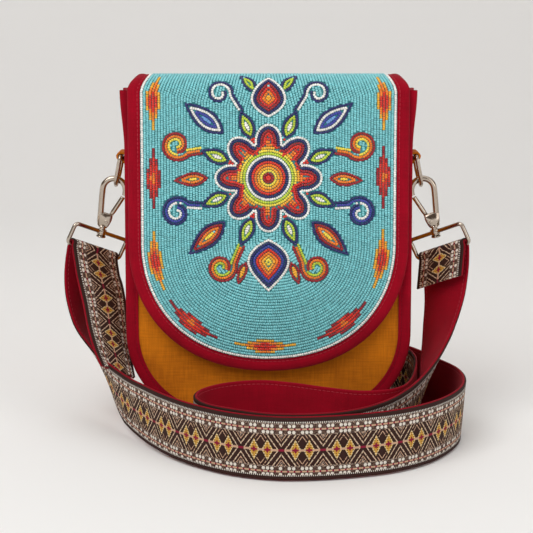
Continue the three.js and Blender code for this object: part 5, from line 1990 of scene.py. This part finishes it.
@dataclass
class Hardware:
    """The nickel parts at both sides: ring, swivel hook with its gate, and strap loop."""

    shop: Workshop
    place: HookPlace = field(default_factory=HookPlace)
    hook_wire: float = 4.3
    swell: float = 0.38
    gate_wire: float = 3.4
    ring_wire: float = 3.0
    loop_wire: float = 3.0
    loop_width: float = 47.6
    block_thick: float = 4.6
    slot: float = 2.3
    bow: tuple[float, float, float] = (-3.0, 27.3, 7.7)
    pivot: tuple[float, float] = (-2.0, 3.6)
    tip: tuple[float, float] = (-10.2, 23.4)

    def build(self) -> None:
        """Builds both sides."""
        for side in Side:
            self.ring(side)
            self.hook(side)
            self.gate(side)
            self.loop(side)
            self.pin(side)

    def ring(self, side: Side) -> None:
        """Builds the D-shaped ring.

        Args:
            side: The side of the bag.
        """
        half, straight, corner, lean = 11.5, 10.4, 2.0, math.radians(11.5)
        bends = [
            arc((half - corner, corner), corner, -90, 0, 8),
            arc((0, straight), half, 0, 180, 40),
            arc((-half + corner, corner), corner, 180, 270, 8),
        ]
        bar = [(x, 0.0) for x in np.linspace(-half + corner, half - corner, 12)[1:-1]]
        outline = resampled(np.vstack(bends + [bar]), 0.9, closed=True)
        down = np.array([side * math.sin(lean), 0, -math.cos(lean)])
        start = np.array([side * self.place.ring_x, 0, self.place.ring_z])
        line = start + outline[:, 0:1] * np.array([0.0, 1.0, 0.0]) + outline[:, 1:2] * down
        thing = self.shop.wire(side.word + "_ring_wire", line, self.ring_wire / 2, closed=True)
        rides(thing, side.word + "_ring", "nickel", side.word + "_ring")

    def plate(self, side: Side, corners: list[tuple], thick: float, bevel: float) -> Thing:
        """Cuts a plate in the hook's plane and eases its edges.

        Args:
            side: The side of the bag.
            corners: The plate's outline in u and w.
            thick: The plate's thickness along Y.
            bevel: The width of its eased edges.

        Returns:
            The new object.
        """
        outline = rounded(corners, 1.1, 4)
        inner = outline - unit(outline - outline.mean(axis=0)) * bevel
        layers = ((inner, -thick / 2), (outline, -thick / 2 + bevel), (outline, thick / 2 - bevel), (inner, thick / 2))
        rings = [self.place.point(side, line[:, 0], line[:, 1], y) for line, y in layers]
        return tube_piece("plate", np.array(rings), self.shop.nickel)

    def hook(self, side: Side) -> None:
        """Builds the hook's rod, its forked block and its swivel stem.

        Args:
            side: The side of the bag.
        """
        bow_u, bow_w, bow_r = self.bow
        out_r = bow_r + self.swell
        foot = [(2.7, 2.5), (3.1, 7.0), (3.6, 12.0), (4.5, 19.5), (bow_u + out_r, bow_w - 1.5)]
        bend = arc((bow_u, bow_w), out_r, 0, 180, 40)
        nose = [(bow_u - out_r + 0.1, self.tip[1] + 1.4)]
        path = resampled(np.vstack([foot, bend, nose]), 0.9)
        line = self.place.point(side, path[:, 0], path[:, 1])
        radius = self.hook_wire / 2 * (1 - 0.12 * smooth(np.linspace(0, 1, len(path)), 0.9, 1.0))
        parts = [self.shop.wire("rod", line, radius)]
        base = [(-3.6, -0.4), (3.8, -0.4), (5.3, 9.2), (1.0, 9.6), (-5.6, 9.0), (-5.4, 4.4)]
        cheek_thick = (self.block_thick - self.slot) / 2
        for way in (-1, 1):
            cheek = self.plate(side, base, cheek_thick, 0.3)
            cheek.data.transform(Matrix.Translation((0, way * (self.slot + cheek_thick) / 2 * MM, 0)))
            parts.append(cheek)
        web = [(1.7, 0.2), (3.3, 0.2), (4.5, 8.1), (1.7, 8.1)]
        sole = [(-3.3, 0.1), (3.3, 0.1), (3.4, 1.2), (-3.6, 1.2)]
        parts += [self.plate(side, corners, self.slot + 0.4, 0.05) for corners in (web, sole)]
        head_w = self.place.collar_w - 2.2 - 0.45 - 1.5
        start = self.place.point(side, 0, head_w)
        profile = [(0, 0), (2.3, 0), (3.3, 0.4), (3.5, 0.9), (3.3, 1.4), (2.4, 1.7), (2.1, 1.9), (2.1, -head_w - 1.3)]
        profile += [(3.1, -head_w - 1.1), (3.4, -head_w - 0.4), (3.1, -head_w + 0.3), (0, -head_w + 0.3)]
        parts.append(turned_part("stem", profile, start, mirrored_x(self.place.up, side), self.shop.nickel))
        rides(joined(side.word + "_hook_body", *parts), side.word + "_hook", "nickel", side.word + "_hook")

    def gate_point(self, across: Array, along: Array) -> Array:
        """Gives a place on the gate, in the hook's plane, from its pivot.

        Args:
            across: Distances across the gate.
            along: Distances from its pivot to its tip.

        Returns:
            Rows of u and w.
        """
        lean = math.atan2(self.pivot[0] - self.tip[0], self.tip[1] - self.pivot[1])
        across, along = np.asarray(across, float), np.asarray(along, float)
        u = self.pivot[0] + across * math.cos(lean) - along * math.sin(lean)
        w = self.pivot[1] + across * math.sin(lean) + along * math.cos(lean)
        return columns(u, w)

    def gate(self, side: Side) -> None:
        """Builds the gate: a flat tongue on the pin and a round rod up to the nose.

        Args:
            side: The side of the bag.
        """
        length = math.hypot(self.tip[0] - self.pivot[0], self.tip[1] - self.pivot[1])
        eye = arc((0, 0), 2.1, 180, 360, 16)
        corners = np.vstack([self.gate_point(eye[:, 0], eye[:, 1]), self.gate_point([1.5, -1.5], [7.6, 7.6])])
        tongue = self.plate(side, corners, 1.7, 0.25)
        along = np.linspace(5.2, length, 30)
        path = self.gate_point(np.zeros(30), along)
        line = self.place.point(side, path[:, 0], path[:, 1])
        taper = (0.55 + 0.45 * smooth(along, 5.2, 8.4)) * (1 - 0.1 * smooth(along, length - 1, length))
        rod = self.shop.wire("gate_rod", line, self.gate_wire / 2 * taper)
        rides(joined(side.word + "_gate_lever", rod, tongue), side.word + "_gate", "nickel", side.word + "_gate")

    def pin(self, side: Side) -> None:
        """Builds the riveted pin of the gate.

        Args:
            side: The side of the bag.
        """
        long = self.block_thick + 0.5
        start = self.place.point(side, *self.pivot, -long / 2)
        half = [(0, 0), (0.9, 0.05), (1.15, 0.22), (0.9, 0.3)]
        profile = half + [(radius, long - height) for radius, height in reversed(half)]
        thing = turned_part(side.word + "_gate_rivet", profile, start, np.array([0.0, 1.0, 0.0]), self.shop.nickel)
        rides(thing, side.word + "_hook", "nickel", side.word + "_gate_pin")

    def loop(self, side: Side) -> None:
        """Builds the rectangular loop and its swivel collar.

        Args:
            side: The side of the bag.
        """
        corner, high = 2.6, 4.4
        wide, low = self.loop_width / 2 - corner, self.place.leg - corner
        middles = ((wide, corner), (wide, low), (-wide, low), (-wide, corner))
        bends = [arc(middle, corner, 90 * k - 90, 90 * k, 8) for k, middle in enumerate(middles)]
        outline = resampled(np.vstack(bends), 0.9, closed=True)
        line = self.place.loop_top + outline[:, 0:1] * self.place.bar_way + outline[:, 1:2] * self.place.leg_way
        wire = self.shop.wire("loop_wire", mirrored_x(line, side), self.loop_wire / 2, closed=True)
        start = self.place.point(side, 0, self.place.collar_w - 2.2)
        profile = [(2.05, 0.2), (2.9, 0), (3.4, 0.5), (3.5, 1.1), (3.1, 1.5), (3.1, high - 1.5), (3.5, high - 1.1)]
        profile += [(3.4, high - 0.5), (2.9, high), (2.05, high - 0.2)]
        collar = turned_part("collar", profile, start, mirrored_x(self.place.up, side), self.shop.nickel, True)
        rides(joined(side.word + "_loop_frame", wire, collar), "bag", "nickel", side.word + "_loop")


# The strap.


@dataclass
class StrapRoute:
    """The strap's middle line and the direction across it, from the left loop round the bag to the right loop."""

    place: HookPlace
    width: float = 42.0
    thick: float = 2.4
    stand: float = 21.2
    left_tail: tuple = (
        (-105.5, -42, 20.8, -0.46, -0.78, 0.42),
        (-109.5, -34, 30.8, -0.52, -0.77, 0.36),
        (-113.8, -23, 45.8, -0.6, -0.74, 0.3),
        (-118, -11.5, 67.8, -0.67, -0.68, 0.3),
    )
    round_bag: tuple = (
        (-130, 2.2, 89.8, -0.69, -0.64, 0.34, 0.8), (-132.2, 2.4, 78.8, -0.62, -0.745, 0.24, 0.2),
        (-133.2, 1, 62.8, -0.5, -0.84, 0.19), (-130.5, -4.5, 45.3, -0.36, -0.91, 0.2),
        (-124, -15, 28.8, -0.18, -0.9, 0.4), (-114.5, -32, 14.8, -0.02, -0.76, 0.65),
        (-101, -56, 5.8, 0.08, -0.47, 0.88), (-83, -82, 1.8, 0.06, -0.2, 0.98),
        (-63, -108, 0.4, 0.02, -0.04, 1), (-43, -127, 0), (-20, -142, 0), (5, -149.5, 0), (30, -149, 0),
        (55, -144, 0), (80, -135, 0), (103, -119, 0, 0.03), (120, -98, 0, 0.05, -0.02), (131, -74, 0, 0.07),
        (134.5, -50, 0, 0.07), (132.5, -28, 0, 0.04), (125, -8, 0), (116, 13, 0), (105, 33, 0), (88, 49, 0),
        (62, 60, 0), (34, 65, 0), (4, 65, 0), (-24, 60, 0), (-40, 51, 0), (-42, 42, 0), (-32, 36, 0),
        (-12, 36, 0), (16, 40, 0), (46, 44, 0), (74, 43.5, 0), (93, 37, 0), (104, 23, 0), (107, 4, 0),
        (106, -16, 0), (103.5, -34, 0), (100.5, -50, 0), (96.5, -65, 0), (90.5, -78, 0), (80, -87, 0),
        (62, -90, 0), (38, -81, 0), (16, -70, 0), (-6, -64, 0), (-30, -71, 0), (-45, -86, 0),
        (-48.5, -103, 0), (-41, -119, 0), (-23, -132, 0), (3, -142.7, 0), (30, -142.5, 0),
        (52, -136, 0.2, -0.01), (72, -122, 1.4, -0.04, -0.1, 0.99), (90, -98, 4.3, -0.03, -0.32, 0.95),
        (103.5, -70, 10.3, 0.03, -0.6, 0.8), (113, -44, 20.3, 0.14, -0.82, 0.55),
        (119.5, -24, 34.3, 0.3, -0.89, 0.34), (124.2, -11, 50.8, 0.46, -0.85, 0.25),
        (127.4, -3.5, 67.8, 0.58, -0.77, 0.25), (128.4, 1.2, 85.8, 0.68, -0.64, 0.34, 0.8),
    )

    def stations(self, rows: tuple) -> list[tuple[Array, Array, float]]:
        """Turns rows of x, y, lift and direction into points, directions and how askew the ribbon runs.

        Args:
            rows: Rows of three to seven numbers, of which the missing ones are usual.

        Returns:
            A point, a direction and a share for each row.
        """
        found = []
        for row in rows:
            x, y, lift, a, b, c, askew = tuple(row) + (0, 0, 1, 0)[len(row) - 3 :]
            found.append((np.array([x, y, self.stand + lift], float), unit(np.array([a, b, c], float)), float(askew)))
        return found

    def fold(self, side: Side) -> list[tuple[Array, Array, float]]:
        """Gives the half turn round a loop's lower bar.

        Args:
            side: The side of the bag.

        Returns:
            Points, directions and how askew the ribbon runs.
        """
        radius = 1.5 + 0.3 + self.thick / 2
        ways = (self.place.loop_bar, self.place.loop_normal, self.place.bar_way, self.place.leg_way)
        bar, back, across, leg = (mirrored_x(way, side) for way in ways)
        found = []
        for angle in np.radians(range(0, 181, 30)):
            at = bar + back * radius * math.cos(angle) - leg * radius * math.sin(angle)
            found.append((at, across, 1.0))
        return found

    def all_stations(self) -> list[tuple[Array, Array, float]]:
        """Lists every station from the left tail to the right tail.

        Returns:
            Points, directions and how askew the ribbon runs.
        """
        a, b, c = self.place.bar_way
        found = self.stations(self.left_tail + ((-122.6, -6.2, 86.8, -a, b, c, 1),))
        found += self.fold(Side.LEFT)[::-1]
        found += self.stations(self.round_bag)
        found += self.fold(Side.RIGHT)
        return found + self.stations(((123.6, -5.4, 88.8, a, b, c, 1), (122.6, -7.4, 77.8, a, b, c, 1)))

    def curve(self, per_station: int) -> tuple[Array, Array, Array]:
        """Runs a smooth line through the stations.

        Args:
            per_station: How many points each station's run has.

        Returns:
            Points, directions across and directions square to the face.
        """
        at, across, askew = (np.array(part) for part in zip(*self.all_stations()))
        ends = np.vstack([2 * at[0] - at[1], at, 2 * at[-1] - at[-2]])
        points, shares = [], []
        for i in range(len(at) - 1):
            p0, p1, p2, p3 = ends[i : i + 4]
            d0, d1, d2 = (max(np.linalg.norm(b - a) ** 0.5, 1e-4) for a, b in ((p0, p1), (p1, p2), (p2, p3)))
            t1 = ((p1 - p0) / d0 - (p2 - p0) / (d0 + d1) + (p2 - p1) / d1) * d1
            t2 = ((p2 - p1) / d1 - (p3 - p1) / (d1 + d2) + (p3 - p2) / d2) * d1
            last = i == len(at) - 2
            for t in np.linspace(0, 1, per_station + 1)[: None if last else -1]:
                a = 2 * p1 - 2 * p2 + t1 + t2
                b = -3 * p1 + 3 * p2 - 2 * t1 - t2
                points.append(a * t**3 + b * t**2 + t1 * t + p1)
                shares.append(i + t)
        points = np.array(points)
        way = unit(np.gradient(points, axis=0))
        index = np.arange(len(at))
        side = unit(columns(*[np.interp(shares, index, across[:, k]) for k in range(3)]))
        lean = np.sum(side * way, axis=1) * (1 - np.interp(shares, index, askew))
        side = unit(side - way * lean[:, None])
        return points, side, unit(np.cross(side, way))


@dataclass
class Strap:
    """The strap: a woven ribbon sewn on a crimson lining, with the lining's edge showing all round."""

    route: StrapRoute
    shop: Workshop
    ribbon_half: float = 20.5
    lining_half: float = 21.0
    seam_inset: float = 2.6

    def build(self) -> None:
        """Builds the ribbon, its lining and the stitches."""
        points, across, face = self.line = self.route.curve(9)
        log.info("strap length %.0f mm", run_along(points)[-1])
        thing = self.layer("strap_ribbon", (-1.2, -0.02), self.ribbon_half, self.shop.ribbon)
        rides(thing, "bag", "strap_webbing", "strap")
        thing = self.layer("strap_lining", (1.2, 0.0), self.lining_half, self.shop.crimson)
        rides(thing, "bag", "crimson_cloth")
        rows = RowPoints()
        for way in (-1, 1):
            seam = points + across * way * (self.lining_half - self.seam_inset) + face * 1.05
            stitches_along(seam, face, 3.2, rows)
        laid = self.shop.lay(rows, "strap_stitches", (2.5, 0.5, 0.45), self.shop.pale_thread)
        rides(laid, "bag", "strap_webbing")

    def layer(self, name: str, depth: tuple[float, float], half: float, material: Finish) -> Thing:
        """Builds one layer of the strap.

        Args:
            name: The object's name.
            depth: The layer's outer face and its inner face, out from the strap's middle.
            half: Half the layer's width.
            material: The layer's finish.

        Returns:
            The new object.
        """
        points, across, face = self.line
        outer, inner = depth
        sign = 1 if outer > inner else -1
        seam = half - self.seam_inset
        offsets = [-half + 0.35, -seam - 1, -seam, -seam + 1, -9, 0, 9, seam - 1, seam, seam + 1, half - 0.35]
        section = [(at, outer - sign * (0.22 if abs(at) == seam else 0)) for at in offsets]
        section += [(half, outer - sign * 0.4), (half, inner + sign * 0.15)]
        section += [(at, inner) for at in (half - 0.3, 10, 0, -10, -half + 0.3)]
        section += [(-half, inner + sign * 0.15), (-half, outer - sign * 0.4)]
        across_at, face_at = np.array(section).T[:, None, :, None]
        rings = points[:, None, :] + across[:, None, :] * across_at + face[:, None, :] * face_at
        uvs = columns(run_along(points)[:, None], self.route.width / 2 - across_at[0, :, 0])
        return tube_piece(name, rings, material, uvs)


# The studio.


@dataclass
class Studio:
    """The pale sweep that the bag stands on, the light and the camera."""

    eye: tuple[float, float, float] = (-1.4, -1006.6, 304.8)
    aim: tuple[float, float, float] = (-1.4, -25.0, 114.0)
    lens: float = 95.9
    sweep_colour: str = "#f0efed"

    def build(self) -> None:
        """Builds the camera, the sweep and the lamps."""
        self.camera()
        self.sweep()
        self.lamps()
        bpy.context.scene.view_settings.view_transform = "Standard"

    def camera(self) -> None:
        """Puts the camera where the picture was taken from."""
        lens = bpy.data.cameras.new("camera")
        lens.lens, lens.sensor_width = self.lens, 36
        lens.clip_start, lens.clip_end = 0.05, 20
        bpy.context.scene.camera = self.aimed(linked("camera", lens), self.eye, self.aim)

    def aimed(self, thing: Thing, place: tuple, aim: tuple) -> Thing:
        """Puts a camera or a lamp in its place and turns it to its aim.

        Args:
            thing: The camera or lamp.
            place: Where it goes.
            aim: What it looks at.

        Returns:
            The same object.
        """
        start, end = Vector(placed(np.array(place))), Vector(placed(np.array(aim)))
        thing.location = start
        thing.rotation_euler = (end - start).to_track_quat("-Z", "Y").to_euler()
        return thing

    def sweep(self) -> None:
        """Builds the floor that curves up into the backdrop."""
        paper = NodeSheet(
            "matt_paper_sweep", Base_Color=linear(self.sweep_colour), Roughness=0.9, Specular_IOR_Level=0.1
        )
        path = np.vstack([[(-2600, 0)], arc((900, 900), 900, -90, 0, 24), [(1800, 3200)]])
        rows = [(x, y, z) for y, z in path for x in (-3000, 3000)]
        mesh = bpy.data.meshes.new("paper_sweep")
        points = placed(np.array(rows, float)) - np.array([0, 0, 0.0004])
        faces = [(2 * i, 2 * i + 1, 2 * i + 3, 2 * i + 2) for i in range(len(path) - 1)]
        mesh.from_pydata(points.tolist(), [], faces)
        mesh.polygons.foreach_set("use_smooth", [True] * len(mesh.polygons))
        mesh.materials.append(paper.finish)
        linked("paper_sweep", mesh)

    def lamps(self) -> None:
        """Lights the bag from a large soft window above and from the room all round."""
        world = bpy.data.worlds.new("pale_room")
        bpy.context.scene.world = world
        world.use_nodes = True
        tree = world.node_tree
        back = tree.nodes["Background"]
        way = add_node(tree, "ShaderNodeTexCoord")
        parts = add_node(tree, "ShaderNodeSeparateXYZ", [way.outputs["Generated"]])
        # A dark band above the horizon gives the metal something to mirror.
        start = add_node(tree, "ShaderNodeMapRange", {"Value": parts.outputs[2], 1: 0.14, 2: 0.26})
        stop = add_node(tree, "ShaderNodeMapRange", {"Value": parts.outputs[2], 1: 0.6, 2: 0.9, 3: 1.0, 4: 0.0})
        band = add_node(tree, "MULTIPLY", [start, stop])
        shades = {0: band, COLOUR_A: (0.84, 0.84, 0.84, 1.0), COLOUR_B: (0.1, 0.075, 0.06, 1.0)}
        sky = add_node(tree, MIX, shades, data_type="RGBA")
        tree.links.new(sky.outputs[2], back.inputs["Color"])
        back.inputs["Strength"].default_value = 1.22
        lamps = (
            ("window", (-900, -1300, 1700), (0, -40, 90), 1.5, 23.5),
            ("fill", (1300, -1100, 900), (0, -40, 110), 1.2, 7.5),
        )
        for name, place, aim, size, power in lamps:
            light = bpy.data.lights.new(name, "AREA")
            light.shape, light.size, light.energy = "SQUARE", size, power
            self.aimed(linked(name, light), place, aim)


def corners(bounds: object) -> list[list[float]]:
    """Turns a pair of corners into plain lists of numbers."""
    return [[float(value) for value in corner] for corner in bounds]


def main() -> None:
    """Builds the bag from the body outwards and reports each piece."""
    logging.basicConfig(level=logging.INFO, format="%(name)s %(message)s")
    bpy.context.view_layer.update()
    Studio().build()
    shop = Workshop.opened()
    shape = BagShape.from_frame()
    place = HookPlace()
    Strap(StrapRoute(place), shop).build()
    BodyCloth(shape, shop).build()
    Flap(FlapShape(shape), shop).build()
    Hardware(shop, place).build()
    for word in ("left", "right"):
        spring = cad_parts[word + "_gate_spring"]
        spring.data.materials.clear()
        spring.data.materials.append(shop.nickel)


if __name__ == "__main__":
    main()
